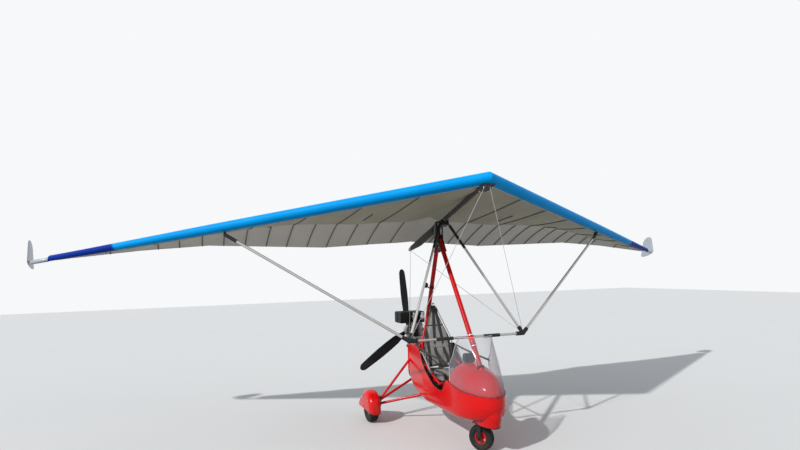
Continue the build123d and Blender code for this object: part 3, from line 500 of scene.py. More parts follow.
tipGrey = paint("tipGrey", (0.46, 0.51, 0.57), (0.40, 0.45, 0.51), {"rough": 0.38, "coat": 0.3, "bump": 0.05})
exhaustBlack = paint("exhaustBlack", (0.035, 0.028, 0.024), (0.10, 0.05, 0.03),
                     {"metal": 0.4, "rough": 0.7, "bump": 0.3, "cloudScale": 9.0})
seatBlack = cloth("seatBlack", (0.020, 0.020, 0.021), (0.032, 0.031, 0.031), {"pitch": 0.0022, "sheen": 0.2})
webBlack = cloth("webBlack", (0.018, 0.018, 0.019), (0.03, 0.03, 0.031), {"pitch": 0.0030, "bump": 0.4})
webGrey = cloth("webGrey", (0.20, 0.21, 0.22), (0.13, 0.135, 0.145), {"pitch": 0.0030, "bump": 0.4})
# near-black cloth: the rear keel fairing's own colour; on the keel pocket it is partly painted shade
darkCoverAndShade = cloth("darkCoverAndShade", (0.030, 0.028, 0.030), (0.055, 0.048, 0.045),
                  {"pitch": 0.0014, "cloudScale": 9.0})
# dark pocket cloth: the batten pockets are real, their dark colour is painted shade of the battens inside the
# sail
pocketClothPaintedShade = cloth("pocketClothPaintedShade", (0.20, 0.19, 0.17), (0.15, 0.14, 0.13), {"pitch": 0.0014})


def sailCloth(name, colour, shade, look):  # woven sailcloth; the piece's own map is in metres: out, aft
    material, where, shader = newFinish(name, colour, 0.6,
                                        {"Sheen Weight": 0.0, "Specular IOR Level": look.get("shine", 0.3)})
    place = where.node("ShaderNodeUVMap", {"uv_map": "UVMap"})
    out, aft = place.split(0), place.split(1)
    weave = (out * 2100.0).maths("SINE") * (aft * 2100.0).maths("SINE")
    clouds = place.stretch((1.4, 0.5, 1)).noise(2.0, 4.0)
    base = clouds.above(0.5, 0.25).colours(colour, shade)
    stain = place.noise(9.0, 5.0, 0.65).above(0.62, 0.12) * look.get("stain", 0.25)
    base = stain.over(base, look.get("stained", shade))
    fromSeam = (aft * (1 / look.get("seamEvery", 0.52))).maths("FRACT") - 0.5
    seam = fromSeam.maths("ABSOLUTE").above(0.484, 0.002)
    base = (seam * look.get("seam", 0.35)).over(base, tuple(c * 0.7 for c in shade))
    if "second" in look:  # a second cloth outboard of a rounded join
        girth = aft - look["joinMiddle"]
        edge = look["joinOut"] - girth * girth * look["joinRound"]
        beyond = (out - edge).above(0.0, 0.004)
        base = beyond.over(base, look["second"])
        thread = ((out - edge).maths("ABSOLUTE")).above(0.012, 0.002)
        base = (1 - thread).maths("MULTIPLY", 0.5).over(base, look["thread"])
    feed(base, shader, "Base Color")
    feed(clouds * 0.12 + look.get("rough", 0.5), shader, "Roughness")
    wrinkle = place.stretch((6.0, 1.2, 1)).noise(3.0, 3.0)
    feed((weave * 0.12 + wrinkle * 1.4).bump(look.get("bump", 0.22), 0.004), shader, "Normal")
    return material


sailTopWhite = sailCloth("sailTopWhite", (0.80, 0.80, 0.78), (0.74, 0.74, 0.72), {"seamEvery": 0.47})
# the underside cloth is the sail's light cloth darkened and yellowed: painted shade of the wing over its own
# underside
sailUnderPaintedShade = sailCloth("sailUnderPaintedShade", (0.46, 0.445, 0.335), (0.38, 0.365, 0.265),
                          {"stain": 0.3, "stained": (0.31, 0.29, 0.20), "seamEvery": 0.62, "bump": 0.3})
sailRearBand = sailCloth("sailRearBand", (0.82, 0.81, 0.76), (0.74, 0.73, 0.68), {"seam": 0.0, "bump": 0.3})
panelBlue = sailCloth("panelBlue", (0.0008, 0.40, 0.96), (0.0008, 0.34, 0.88),
                      {"seamEvery": 9.0, "seam": 0.0, "stain": 0.12, "stained": (0.002, 0.2, 0.6),
                       "rough": 0.42, "shine": 0.06, "bump": 0.1, "second": (0.004, 0.035, 0.33),
                       "joinOut": 3.78, "joinMiddle": 0.24, "joinRound": 1.9, "thread": (0.01, 0.10, 0.5)})

# wing: the sail's sheets follow the same table of sections as the frame's solid
sail = {
    "keelRise": 0.140, "keelFront": 1.495, "datum": 1.420, "sweep": 31.15, "noseDrop": 0.28, "tail": 0.008,
    "end": 4.5,
    "stations": [  # out, chord, trailing edge, crest, nose height, underside
        (0.0, 2.435, 0.100, 0.200, 0.125, 0.045),
        (1.2015, 1.949, 0.100, 0.185, 0.120, 0.040),
        (2.7, 1.033, 0.140, 0.175, 0.110, 0.045),
        (3.501, 0.639, 0.110, 0.135, 0.090, 0.035),
        (4.5, 0.200, 0.050, 0.078, 0.064, 0.018)],
    "underEdge": [(0.0, 1.60), (0.2, 1.74), (0.5, 1.78), (1.0, 1.87), (1.5, 1.87), (2.05, 1.96), (2.4, 2.10),
                  (3.0, 2.36), (3.8, 2.60), (4.5, 2.85)],
    "battens": [0.62, 1.17, 1.71, 2.25, 2.78, 3.30, 3.85],
    "shortRear": [0.30, 0.90, 1.44, 1.98, 2.52, 3.05],
    "upperPanel": 0.30, "lowerPanel": 0.105, "scallop": 0.016, "billow": 0.006,
}
slant, sweepCos = math.tan(math.radians(sail["sweep"])), math.cos(math.radians(sail["sweep"]))


def noseAt(out):
    return -sail["keelFront"] + out * slant


def between(out):  # 0 on a batten and 1 half way to the next
    marks = [0.0] + sail["battens"] + [sail["end"]]
    for first, second in zip(marks, marks[1:]):
        if first <= out <= second:
            return math.sin(math.pi * (out - first) / (second - first))
    return 0.0


def through(s, rows):  # the parabola through three points
    (a, p), (b, q), (c, r) = rows
    return (p * (s - b) * (s - c) / ((a - b) * (a - c)) + q * (s - a) * (s - c) / ((b - a) * (b - c))
            + r * (s - a) * (s - b) / ((c - a) * (c - b)))


def sectionAt(out):
    chord, trail, crest, nose, under = table(sail["stations"], out)
    low, high = -nose * sail["noseDrop"], nose * (1 - sail["noseDrop"])
    return {"chord": chord, "trail": trail, "crest": crest, "nose": nose, "under": under, "low": low,
            "high": high, "turn": nose * 0.55 / chord}


def upperAt(section, s):
    if s < section["turn"]:
        middle = (section["low"] + section["high"]) / 2
        return middle + section["nose"] / 2 * math.sqrt(max(0.0, 1 - (1 - s / section["turn"]) ** 2))
    return through(s, [(section["turn"], section["high"]), (0.42, section["crest"]),
                       (1.0, section["trail"] + sail["tail"] / 2)])


def lowerAt(section, s):
    if s < section["turn"]:
        middle = (section["low"] + section["high"]) / 2
        return middle - section["nose"] / 2 * math.sqrt(max(0.0, 1 - (1 - s / section["turn"]) ** 2))
    return through(s, [(section["turn"], section["low"]), (0.5, section["under"]),
                       (1.0, section["trail"] - sail["tail"] / 2)])


def topPoint(out, s, drop=0.0, side=1):
    section = sectionAt(out)
    chord = section["chord"] - sail["scallop"] * between(out) * smooth((out - 0.1) / 0.4)
    sag = sail["billow"] * between(out) * smooth((s - 0.2) / 0.3)
    return Vector((side * out, noseAt(out) + s * chord, sail["keelRise"] + upperAt(section, s) - sag - drop))


def underShare(out):  # where the lower cloth ends, as a share of the chord
    edge = table(sail["underEdge"], out)[0] - sail["datum"]
    return min(0.96, (edge - noseAt(out)) / sectionAt(out)["chord"])


def underStart(out):  # where the blue panel ends on the underside
    return min(0.90, sail["lowerPanel"] / sweepCos / sectionAt(out)["chord"])


def underPoint(out, s, drop=0.0, side=1):
    section = sectionAt(out)
    start, end = underStart(out), underShare(out)
    t = (s - start) / max(0.02, end - start)
    high = upperAt(section, end) - 0.007 - sail["billow"] * between(out) * smooth((end - 0.2) / 0.3)
    sag = (0.008 + 0.012 * between(out)) * 4 * max(0.0, t * (1 - t))
    height = mix(lowerAt(section, start), high, t) - sag
    return Vector((side * out, noseAt(out) + s * section["chord"], sail["keelRise"] + height - drop))


def evened(points, rounds):  # softens a polyline, ends kept
    for _ in range(rounds):
        points = [p if n in (0, len(points) - 1) else p * 0.5 + (points[n - 1] + points[n + 1]) * 0.25
                  for n, p in enumerate(points)]
    return points


def spans(start, end, step):
    count = max(2, round((end - start) / step))
    return [start + (end - start) * n / count for n in range(count + 1)]


def makeLeadingPanel(side, hand):
    rows, places = [], []
    for out in spans(0.0, sail["end"], 0.075):
        section = sectionAt(out)
        lowEnd, highEnd = (min(0.97, sail[width] / sweepCos / section["chord"])
                           for width in ("lowerPanel", "upperPanel"))
        turn = section["turn"]
        line = [(lowerAt, mix(lowEnd, turn, n / 12)) for n in range(13)]
        line += [(lowerAt, turn * (1 - math.sin(math.pi / 2 * n / 12))) for n in range(1, 13)]
        line += [(upperAt, turn * (1 - math.cos(math.pi / 2 * n / 12))) for n in range(1, 13)]
        line += [(upperAt, mix(turn, highEnd, n / 16)) for n in range(1, 17)]
        points = evened([Vector((side * out, noseAt(out) + s * section["chord"],
                                 sail["keelRise"] + heightAt(section, s)))
                         for heightAt, s in line], 10)
        run = 0.0
        for n, point in enumerate(points):
            if n:
                run += (point - points[n - 1]).length
            places.append((out, run))
        rows.append([wingTurn @ p for p in points])
    piece = skin("leadingPanel" + hand, rows, panelBlue, "wing", uvs=places)
    if side > 0:
        piece.data.flip_normals()
    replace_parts(piece, "leading_edge_" + hand.lower())


def makeSailHalf(side, which):  # which is top, under or rear
    rows, places = [], []
    for out in sorted(set(spans(0.0, sail["end"], 0.07) + sail["battens"])):
        section = sectionAt(out)
        ahead = (sail["upperPanel"] if which == "top" else sail["lowerPanel"]) - 0.012
        start = min(0.90, ahead / sweepCos / section["chord"])
        if which == "top":
            ends, point, count = (start, 1.0), topPoint, 34
        elif which == "under":
            ends, point, count = (start, max(start + 0.02, underShare(out))), underPoint, 26
        else:
            ends, point, count = (max(start + 0.02, underShare(out)) - 0.004, 1.0), topPoint, 8
        drop = {"top": 0.001, "under": -0.001, "rear": 0.004}[which]
        row = [point(out, mix(*ends, n / count), drop, side) for n in range(count + 1)]
        places += [(out, p.y + sail["datum"]) for p in row]
        rows.append([wingTurn @ p for p in row])
    return rows, places


def makeSailSheet(name, which, finish):
    rows, places = makeSailHalf(-1, which)
    more, morePlaces = makeSailHalf(1, which)
    columns = len(rows[0])
    rows = rows[::-1] + more[1:]
    places = [p for n in range(len(places) // columns)[::-1] for p in places[n * columns:(n + 1) * columns]]
    places += morePlaces[columns:]
    piece = skin(name, rows, finish, "wing", uvs=places)
    if which != "top":
        piece.data.flip_normals()
    return piece


for side, hand in hands:
    makeLeadingPanel(side, hand)
sailTop = makeSailSheet("sailTop", "top", sailTopWhite)
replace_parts(sailTop, "sail")
# the underside sheet, in the cloth with painted shade
makeSailSheet("sailUnder", "under", sailUnderPaintedShade)
makeSailSheet("sailRear", "rear", sailRearBand)


def makeBattens():
    paths = []
    for side in (1, -1):
        for out in sail["battens"]:
            start, end = underStart(out), underShare(out)
            line = [wingTurn @ underPoint(out, mix(start, end, n / 24), 0.004, side) for n in range(24)]
            line += [wingTurn @ topPoint(out, mix(end, 0.995, n / 8), 0.009, side) for n in range(9)]
            paths.append(line)
        for out in sail["shortRear"]:
            paths.append([wingTurn @ topPoint(out, mix(underShare(out) + 0.01, 0.99, n / 8), 0.009, side)
                          for n in range(9)])
        for out, start, end in ((0.93, 1.12, 1.50), (2.02, 1.74, 1.98)):
            chord = sectionAt(out)["chord"]
            share = lambda aft: (aft - sail["datum"] - noseAt(out)) / chord
            paths.append([wingTurn @ underPoint(out, mix(share(start), share(end), n / 8), 0.004, side)
                          for n in range(9)])
    # the pockets' dark colour is painted shade of the battens seen through the sail
    tubes("battenPockets", paths, 0.0075, pocketClothPaintedShade, "wing", sides=10)


def makeHems():
    paths = []
    for side in (1, -1):
        paths.append([wingTurn @ topPoint(out, 0.999, 0.003, side) for out in spans(0.0, sail["end"], 0.045)])
    tubes("trailingHem", paths, 0.0045, sailTopWhite, "wing", sides=8)
    paths = []
    for side in (1, -1):
        line = []
        for out in spans(0.02, sail["end"] - 0.02, 0.09):
            line.append(wingTurn @ underPoint(out, underStart(out), 0.0005, side))
        paths.append(line)
    tubes("panelCord", paths, 0.0035, sailTopWhite, "wing", sides=8)


makeBattens()
makeHems()
print("sail")

tip = {"radius": 0.027, "span": 4.74, "rise": 0.154, "rootChord": 0.330, "topChord": 0.190, "height": 0.295,
       "forward": 0.045, "thick": 0.012}


def makeTip(side, hand):
    inner = Vector((side * (sail["end"] + 0.0006), noseAt(sail["end"]) + 0.05, tip["rise"]))
    outer = Vector((side * tip["span"], noseAt(tip["span"]) + 0.04, tip["rise"]))
    run = outer - inner
    rows = []
    for share, grow in ((0.0, 0.90), (0.02, 1.0), (0.6, 0.98), (0.9, 0.9), (0.97, 0.72), (1.0, 0.35)):
        centre = inner + run * share
        rows.append([wingTurn @ (centre + Vector((0, math.cos(a), math.sin(a))) * tip["radius"] * grow)
                     for a in around(24)])
    tube = skin("tipTube", rows, tipGrey, None, across=True)
    rows = []
    for level in (0.0, 0.04, 0.12, 0.25, 0.4, 0.55, 0.7, 0.82, 0.91, 0.965, 1.0):
        z = sail["keelRise"] - tip["radius"] / 2 + level * (tip["height"] + tip["radius"] / 2)
        front = noseAt(tip["span"]) - 0.01 - tip["forward"] * level
        chord = mix(tip["rootChord"], tip["topChord"], level)
        squeeze = math.sqrt(max(0.0, 1 - max(0.0, (level - 0.80) / 0.20) ** 2.2)) if level > 0.8 else 1.0
        squeeze *= math.sqrt(max(0.02, 1 - max(0.0, (0.12 - level) / 0.125) ** 2)) if level < 0.12 else 1.0
        row = []
        for a in around(26):
            aft = 0.5 - 0.5 * math.cos(a)
            y = front + chord * 0.5 + (aft - 0.5) * chord * max(0.12, squeeze)
            x = math.sin(a) * tip["thick"] / 2 * (1.15 - aft * 0.9) * max(0.35, squeeze)
            row.append(wingTurn @ Vector((side * tip["span"] + x, y, z)))
        rows.append(row)
    fin = form("tipFin", rows, tipGrey)
    whole = outward(joinPieces("wingTip" + hand, [tube, fin], "wing"))
    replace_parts(whole, "wing_tip_" + hand.lower())


for side, hand in hands:
    makeTip(side, hand)
print("tips")


def evenly(points, count):  # the same line with evenly spaced points
    runs = [0.0]
    for first, second in zip(points, points[1:]):
        runs.append(runs[-1] + (second - first).length)
    out, at = [], 0
    for n in range(count + 1):
        goal = runs[-1] * n / count
        while at < len(points) - 2 and runs[at + 1] < goal:
            at += 1
        gap = max(1e-9, runs[at + 1] - runs[at])
        out.append(points[at].lerp(points[at + 1], min(1.0, max(0.0, (goal - runs[at]) / gap))))
    return out


def soft(rows, at, width):  # a table with its corners eased
    found = [table(rows, at + width * step / 3) for step in range(-3, 4)]
    return tuple(sum(values) / len(found) for values in zip(*found))


def faceAway(piece, centre):  # an open shell's faces turned away from a point inside it
    outward(piece)
    leaning = sum(face.normal.dot(face.center - centre) * face.area for face in piece.data.polygons)
    if leaning < 0:
        piece.data.flip_normals()
    return piece


def thicken(piece, wall, inner=1, angle=30):  # a wall inside the shell
    modify(piece, "SOLIDIFY", thickness=wall, offset=-1, material_offset=inner, use_even_offset=False)
    bake(piece)
    return setSharp(piece, angle)


def spots(places):  # a small square at every place, square to its direction
    verts, faces = [], []
    for place, direction in places:
        turn = Vector(direction).normalized().to_track_quat("Z", "Y").to_matrix()
        base = len(verts)
        verts += [place + turn @ Vector((x * 1e-3, y * 1e-3, 0))
                  for x, y in ((-1, -1), (1, -1), (1, 1), (-1, 1))]
        faces.append((base, base + 1, base + 2, base + 3))
    return verts, faces


repeatTree, repeatIds = makeRepeatTree()
screwHead = lathe("screwPattern", mm((0, -1), (7.5, -1), (7.8, 0.8), (7.2, 1.4), (4.8, 1.4), (4.6, 3),
                                     (3.4, 4.2), (2, 4.4), (1.8, 2.6), (0, 2.6)), (0, 0, 0), (0, 0, 1), [],
                  None, sides=12)
washer = lathe("washerPattern", mm((0, -2), (11.5, -2), (11.8, 1.2), (11.2, 1.8)), (0, 0, 0), (0, 0, 1),
               [], None, sides=18)
hexHead = lathe("hexPattern", mm((9.5, 1.6), (9.5, 6.6), (8.6, 7.6), (0, 7.8)), (0, 0, 0), (0, 0, 1),
                [], None, sides=6)
tyreLug = lathe("lugPattern", mm((0, -2), (10.5, -2), (9.8, 2.8), (0, 3)), (0, 0, 0), (0, 0, 1),
                [], None, sides=4)
patterns = {"screw": screwHead, "bolt": joinPieces("boltPattern", [washer, hexHead]), "lug": tyreLug}


def repeat(name, places, pattern, finish, body, size=1.0):
    verts, faces = spots(places)
    piece = addPiece(name, verts, faces, finish, None, smoothed=False)
    grow = piece.modifiers.new("repeat", "NODES")
    grow.node_group = repeatTree
    for key, value in (("Shape", patterns[pattern]), ("Size", size), ("Finish", finish)):
        grow[repeatIds[key]] = value
    bake(piece)
    settle(setSharp(piece, 40), body)


def strap(name, path, width, thick, across, finish, body):  # a flat band of webbing along a path
    rows = []
    for n, point in enumerate(path):
        ahead = (path[min(n + 1, len(path) - 1)] - path[max(n - 1, 0)]).normalized()
        side = Vector(across) - ahead * Vector(across).dot(ahead)
        side.normalize()
        up = side.cross(ahead)
        rows.append([point + side * x * width / 2 + up * z * thick / 2
                     for x, z in ((-1, -0.4), (-0.96, -1), (0.96, -1), (1, -0.4), (1, 0.4), (0.96, 1),
                                  (-0.96, 1), (-1, 0.4))])
    outward(form(name, rows, finish, body, angle=40))


# pod: a moulded shell, red outside and black inside
pod = {
    "floor": 0.300, "half": 0.262, "tailHalf": 0.218, "tail": 0.610, "nose": 1.345, "wall": 0.006,
    "levels": [  # height above the floor, narrower by, bow starts and front tip behind the nose
        (0.0, 0.092, 0.760, 0.560), (0.022, 0.034, 0.620, 0.190), (0.052, 0.010, 0.560, 0.104),
        (0.108, 0.001, 0.548, 0.038), (0.210, 0.0, 0.545, 0.0), (0.300, 0.0, 0.545, 0.024),
        (0.700, 0.0, 0.545, 0.024)],
    "underside": [(0.0, 0.0), (0.06, 0.004), (0.42, 0.048), (0.60, 0.180), (0.61, 0.187)],
    "edge": [  # aft of the hang bolt, height of the top edge
        (-1.321, 0.600), (-1.000, 0.6272), (-0.760, 0.668), (-0.660, 0.692), (-0.548, 0.542), (-0.430, 0.547),
        (-0.300, 0.574), (-0.195, 0.628), (-0.070, 0.706), (0.040, 0.806), (0.100, 0.905), (0.150, 0.940),
        (0.340, 0.950), (0.550, 0.938), (0.596, 0.885), (0.610, 0.870)],
    "lowRows": [0.0, 0.003, 0.008, 0.015, 0.024, 0.036, 0.052, 0.072, 0.100, 0.140, 0.180],
    "trim": 0.0048, "bead": 0.0075, "stemHole": 0.046,
}


def podEdge(y):
    return soft(pod["edge"], y, 0.026)[0]


def podPoint(share, height):  # share 0 at the nose, 1 where the bow ends, 2 at the tail
    narrower, bowBack, tipBack = soft(pod["levels"], height, height * 0.35)
    half, start = pod["half"] - narrower, bowBack - pod["nose"]
    if share <= 1:
        angle = math.pi / 2 * share
        return half * math.sin(angle), start - (bowBack - tipBack) * math.cos(angle)
    y = mix(start, pod["tail"], share - 1)
    return half - max(0.0, y / pod["tail"]) * (pod["half"] - pod["tailHalf"]), y


def podRib(share, side):
    y = podPoint(share, 0.3)[1]
    lift = soft(pod["underside"], y, 0.06)[0]
    top = podEdge(y) - pod["floor"] - lift
    points = []
    x0, y0 = podPoint(share, 0.0)
    for n in range(6):
        points.append(trike(side * x0 * n / 6, y0, pod["floor"] + lift))
    for height in pod["lowRows"] + [mix(pod["lowRows"][-1], top, n / 14) for n in range(1, 15)]:
        x, y = podPoint(share, height)
        points.append(trike(side * x, y, pod["floor"] + lift + height))
    return points


def makePod():
    shares = [n / 40 for n in range(40)] + [1 + n / 116 for n in range(117)]
    rows = [podRib(share, -1) for share in shares[::-1]] + [podRib(share, 1) for share in shares[1:]]
    piece = skin("podShell", rows, [redGel, linerBlack], None)
    faceAway(piece, trike(0, -0.4, 0.6))
    post = trike(0, trikeSize["post"], pod["floor"])
    cutFaces(piece, lambda middle: (middle - post).length < pod["stemHole"])
    settle(thicken(piece, pod["wall"]), "trike", "pod_tub")
    tops = [row[-1] for row in rows]
    local = [p.y - hangBolt.y for p in tops]
    half = len(shares) - 1
    for name, keep, radius, finish, slot in (
            ("podTrim", lambda y: -0.70 < y < 0.30, pod["trim"], blackMould, "panel_black"),
            ("podRolledEdge", lambda y: y >= 0.295, pod["bead"], redGel, "pod_red")):
        paths = []
        for start, end in ((0, half + 1), (half, len(tops))):
            line = [tops[n] for n in range(start, end) if keep(local[n])]
            if name == "podRolledEdge":
                upright = (rows[0] if start == 0 else rows[-1])[6:-1]
                back = [p - Vector((0, pod["bead"] * 0.4, 0)) for p in upright]
                line = back + line if start == 0 else line + back[::-1]
            paths.append(line)
        tubes(name, paths, radius, finish, "trike", sides=12)
    seam = [p - Vector((0, 0, 0.001)) for p, y in zip(tops, local) if y <= -0.745]
    tubes("seamGasket", [seam], 0.0024, linerBlack, "trike", sides=10)
    places = []
    for row, y in list(zip(rows, local))[::6]:
        if y < -0.80:
            place = row[-1].lerp(row[-2], 0.95)
            out = row[-1] - trike(0, -0.8, 0.6)
            way = Vector((out.x * 2.2, out.y, 0))
            places.append((place + way.normalized() * 0.0005, way))
    repeat("seamScrews", places, "screw", blackMould, "trike", size=0.55)
    lathe("stemBoot", mm((46, 2), (50, -4), (50, -10), (36, -12), (32, -4), (30, 12), (24, 16), (20.5, 16),
                         (20.5, 4), (46, 2)),
          trike(0, trikeSize["post"], pod["floor"] + 0.018), (0, 0, 1), rubber, "trike",
          sides=32)


# the milky grey base, seen through alpha and thicker at grazing angles, is partly dust haze on the acrylic and
# partly painted reflection
clearScreen, screenPlace, screenShader = newFinish("clearScreen", (0.36, 0.36, 0.41), 0.05, {"IOR": 1.49})
dusty = screenPlace.noise(7.0, 5.0, 0.65).above(0.5, 0.2) * 0.07
facing = screenPlace.node("ShaderNodeLayerWeight", {}, {"Blend": 0.35}, out=1)
feed(facing * facing * 0.50 + dusty + 0.10, screenShader, "Alpha")
feed(screenPlace.noise(30.0, 3.0) * 0.10 + 0.03, screenShader, "Roughness")
feed(screenPlace.noise(5.0, 2.0).bump(0.05, 0.004), screenShader, "Normal")
# pale paint: a painted highlight on the windscreen's edge, and the gauges' printed marks
highlightAndMarkPale = paint("highlightAndMarkPale", (0.62, 0.62, 0.66), (0.52, 0.52, 0.56), {"rough": 0.18, "bump": 0.04})

screen = {
    "seam": 0.600, "top": 1.168, "wall": 0.003, "bead": 0.0036,
    "levels": [(-0.020, 0.259, 0.800, 1.323), (0.280, 0.238, 0.790, 1.222), (0.600, 0.204, 0.850, 0.986)],
    "rear": [(0.64, 0.765), (0.70, 0.752), (0.80, 0.728), (0.895, 0.735), (0.955, 0.800), (1.06, 0.838),
             (1.145, 0.880), (1.166, 0.930), (1.17, 0.940)],
}


def screenLine(share, count=56):
    seam, top = screen["seam"], screen["top"]
    line = []
    for n in range(81):
        angle = math.pi / 2 * min(1.0, n / 60)
        z = mix(seam, top, share)
        for _ in range(3):
            half, start, ahead = (through(z - seam, [(row[0], row[k]) for row in screen["levels"]])
                                  for k in (1, 2, 3))
            y = -start - (ahead - start) * math.cos(angle) + max(0, n - 60) * 0.008
            z = mix(podEdge(min(y, -0.77)) + 0.001, top, share)
        point = Vector((half * math.sin(angle), y, z))
        limit = -soft(screen["rear"], z, 0.012)[0]
        if point.y > limit:
            before = line[-1]
            line.append(before.lerp(point, (limit - before.y) / max(1e-6, point.y - before.y)))
            break
        line.append(point)
    return evenly(line, count)


def makeScreen():
    rows = []
    for n in range(31):
        line = screenLine(n / 30)
        rows.append([trike(-p.x, p.y, p.z) for p in line[::-1]] + [trike(*p) for p in line[1:]])
    last = len(rows[0]) - 1
    piece = skin("windscreenShell", rows, clearScreen, None,
                 uvs=[(r / 30, c / last) for r in range(31) for c in range(last + 1)])
    faceAway(piece, trike(0, -0.8, 0.8))
    settle(thicken(piece, screen["wall"], inner=0), "trike", "windscreen")
    border = [row[0] for row in rows[1:]] + rows[-1][1:-1] + [row[-1] for row in rows[:0:-1]]
    # a pale tube round the screen's border: painted highlight of the acrylic's edge
    tubes("screenEdging", [evened(border, 3)], screen["bead"], highlightAndMarkPale, "trike", sides=10)


cowl = {"half": 0.252, "length": 0.593, "height": 0.266, "back": -trikeSize["hood"], "base": 0.602,
        "wall": 0.004, "hole": 0.845}


def makeCowl():
    rows = []
    for n in range(25):
        up = math.pi / 2 * 0.996 * n / 24
        row = []
        for k in range(49):
            a = math.pi * k / 48
            foot = podEdge(-cowl["back"] - cowl["length"] * math.sin(a)) - 0.003
            x, y = cowl["half"] * math.cos(up) * math.cos(a), cowl["length"] * math.cos(up) * math.sin(a)
            row.append(trike(x, -cowl["back"] - y, mix(foot, cowl["base"] + cowl["height"], math.sin(up))))
        rows.append(row)
    piece = skin("cowlShell", rows, [redGel, linerBlack], None)
    faceAway(piece, trike(0, -0.8, 0.6))
    settle(thicken(piece, cowl["wall"]), "trike", "dash_cowl")
    rim = [row[0] for row in rows] + [row[-1] for row in rows[::-1]]
    tubes("cowlTrim", [rim], 0.0022, blackMould, "trike", sides=10)
    middle = trike(0, trikeSize["hood"], 0.62)
    places = [(p + (p - middle).normalized() * 0.0004, p - middle) for p in rows[1][6:43:6]]
    repeat("cowlScrews", places, "screw", blackMould, "trike", size=0.5)
    drop = (trikeSize["hang"] - cowl["hole"]) / -frontSlope.z
    lathe("tubeGrommet", mm((29, -14), (40, -14), (42, -4), (38, 8), (31, 10), (29, 6), (29, -14)),
          trike(0, frontSlope.y * drop, trikeSize["hang"] + frontSlope.z * drop), frontSlope, rubber, "trike",
          sides=32)


makePod()
makeScreen()
makeCowl()
print("pod, screen and cowl")

# instruments: bezels and dials on the back of the hood
dialFace = newFinish("dialFace", (0.02, 0.02, 0.022), 0.3)[0]
gauges = {"rows": [(-0.038, 0.932, 0.0225), (0.018, 0.932, 0.0225), (-0.010, 0.893, 0.0140),
                   (-0.120, 0.800, 0.026), (0.060, 0.800, 0.026), (0.135, 0.770, 0.020)], "ticks": 12,
          "binnacle": 0.87}


def makeGauges():
    rings, faces, marks = [], [], []
    for x, z, radius in gauges["rows"]:
        onBinnacle = z > gauges["binnacle"]
        centre = trike(x, trikeSize["hood"] + (0.0086 if onBinnacle else 0.0006), z)
        rings.append(lathe("bezel", [(radius * 0.98, 0.0), (radius * 1.12, 0.0), (radius * 1.14, 0.004),
                                     (radius * 1.06, 0.0065), (radius * 0.98, 0.0055), (radius * 0.93, 0.002),
                                     (radius * 0.98, 0.0)], centre, (0, 1, 0),
                           blackMould, None, sides=32))
        faces.append(lathe("dial", [(0.0, 0.0022), (radius * 0.95, 0.0022), (radius * 0.95, 0.0005)], centre,
                           (0, 1, 0), dialFace, None, sides=32))
        for n in range(gauges["ticks"]):
            a = math.radians(-135 + 270 * n / (gauges["ticks"] - 1))
            way = Vector((math.sin(a), 0, math.cos(a)))
            start = centre + Vector((0, 0.0026, 0)) + way * radius * 0.74
            marks.append([start, start + way * radius * 0.16])
        hand = math.radians(-60 + x * 900)
        way = Vector((math.sin(hand), 0, math.cos(hand)))
        pin = centre + Vector((0, 0.003, 0))
        marks.append([pin - way * radius * 0.15, pin + way * radius * 0.66])
    joinPieces("gaugeBezels", rings, "trike")
    joinPieces("gaugeFaces", faces, "trike")
    tubes("gaugeMarks", marks, 0.0007, highlightAndMarkPale, "trike", sides=6)


makeGauges()


chin = {"low": 0.288, "high": 0.460, "halfLow": 0.103, "halfHigh": 0.118, "frontLow": 1.296, "frontHigh": 1.322,
        "bow": 0.19, "back": 0.965, "wall": 0.004, "roomAft": 1.18, "roomAbove": 0.333}


def makeChin():
    rows = []
    for n in range(15):
        z = mix(chin["low"], chin["high"], n / 14)
        half = mix(chin["halfLow"], chin["halfHigh"], smooth(n / 14))
        bowStart = chin["bow"] - mix(chin["frontLow"], chin["frontHigh"], min(1.0, n / 8))
        line = [(half * math.sin(a), bowStart - chin["bow"] * math.cos(a), z)
                for a in (math.pi / 2 * k / 24 for k in range(25))]
        line += [(half, mix(bowStart, -chin["back"], k / 10), z) for k in range(1, 11)]
        rows.append([trike(-x, y, z) for x, y, z in line[::-1]] + [trike(x, y, z) for x, y, z in line[1:]])
    piece = skin("chinSkirt", rows, [redGel, linerBlack], None)
    faceAway(piece, trike(0, -1.1, 0.37))
    room = trike(0, -chin["roomAft"], chin["roomAbove"])  # for the fork's crown
    cutFaces(piece, lambda middle: middle.y > room.y and middle.z > room.z)
    settle(thicken(piece, chin["wall"]), "trike", "pod_chin")
    tubes("chinTrim", [rows[0]], 0.0042, blackMould, "trike", sides=10)


spat = {"track": 0.757, "aft": 0.560, "rise": 0.185, "reach": 0.211, "tailAft": 0.280, "tailDrop": 0.015,
        "tailRadius": 0.066, "half": 0.078, "edge": 0.054, "wall": 0.0035, "low": 0.122, "outerLow": 0.154}


def spatLoop(inset, count=72):
    nose, tail = spat["reach"] - inset, max(0.006, spat["tailRadius"] - inset)
    span = math.hypot(spat["tailAft"], spat["tailDrop"])
    tilt = math.atan2(-spat["tailDrop"], spat["tailAft"])
    lean = math.acos((nose - tail) / span)
    line = [Vector((0, nose * math.cos(a), nose * math.sin(a)))
            for a in (tilt + lean + (2 * math.pi - 2 * lean) * n / 40 for n in range(41))]
    line += [Vector((0, spat["tailAft"] + tail * math.cos(a), -spat["tailDrop"] + tail * math.sin(a)))
             for a in (tilt - lean + 2 * lean * n / 16 for n in range(17))]
    line.append(line[0].copy())
    return evenly(line, count)[:-1]


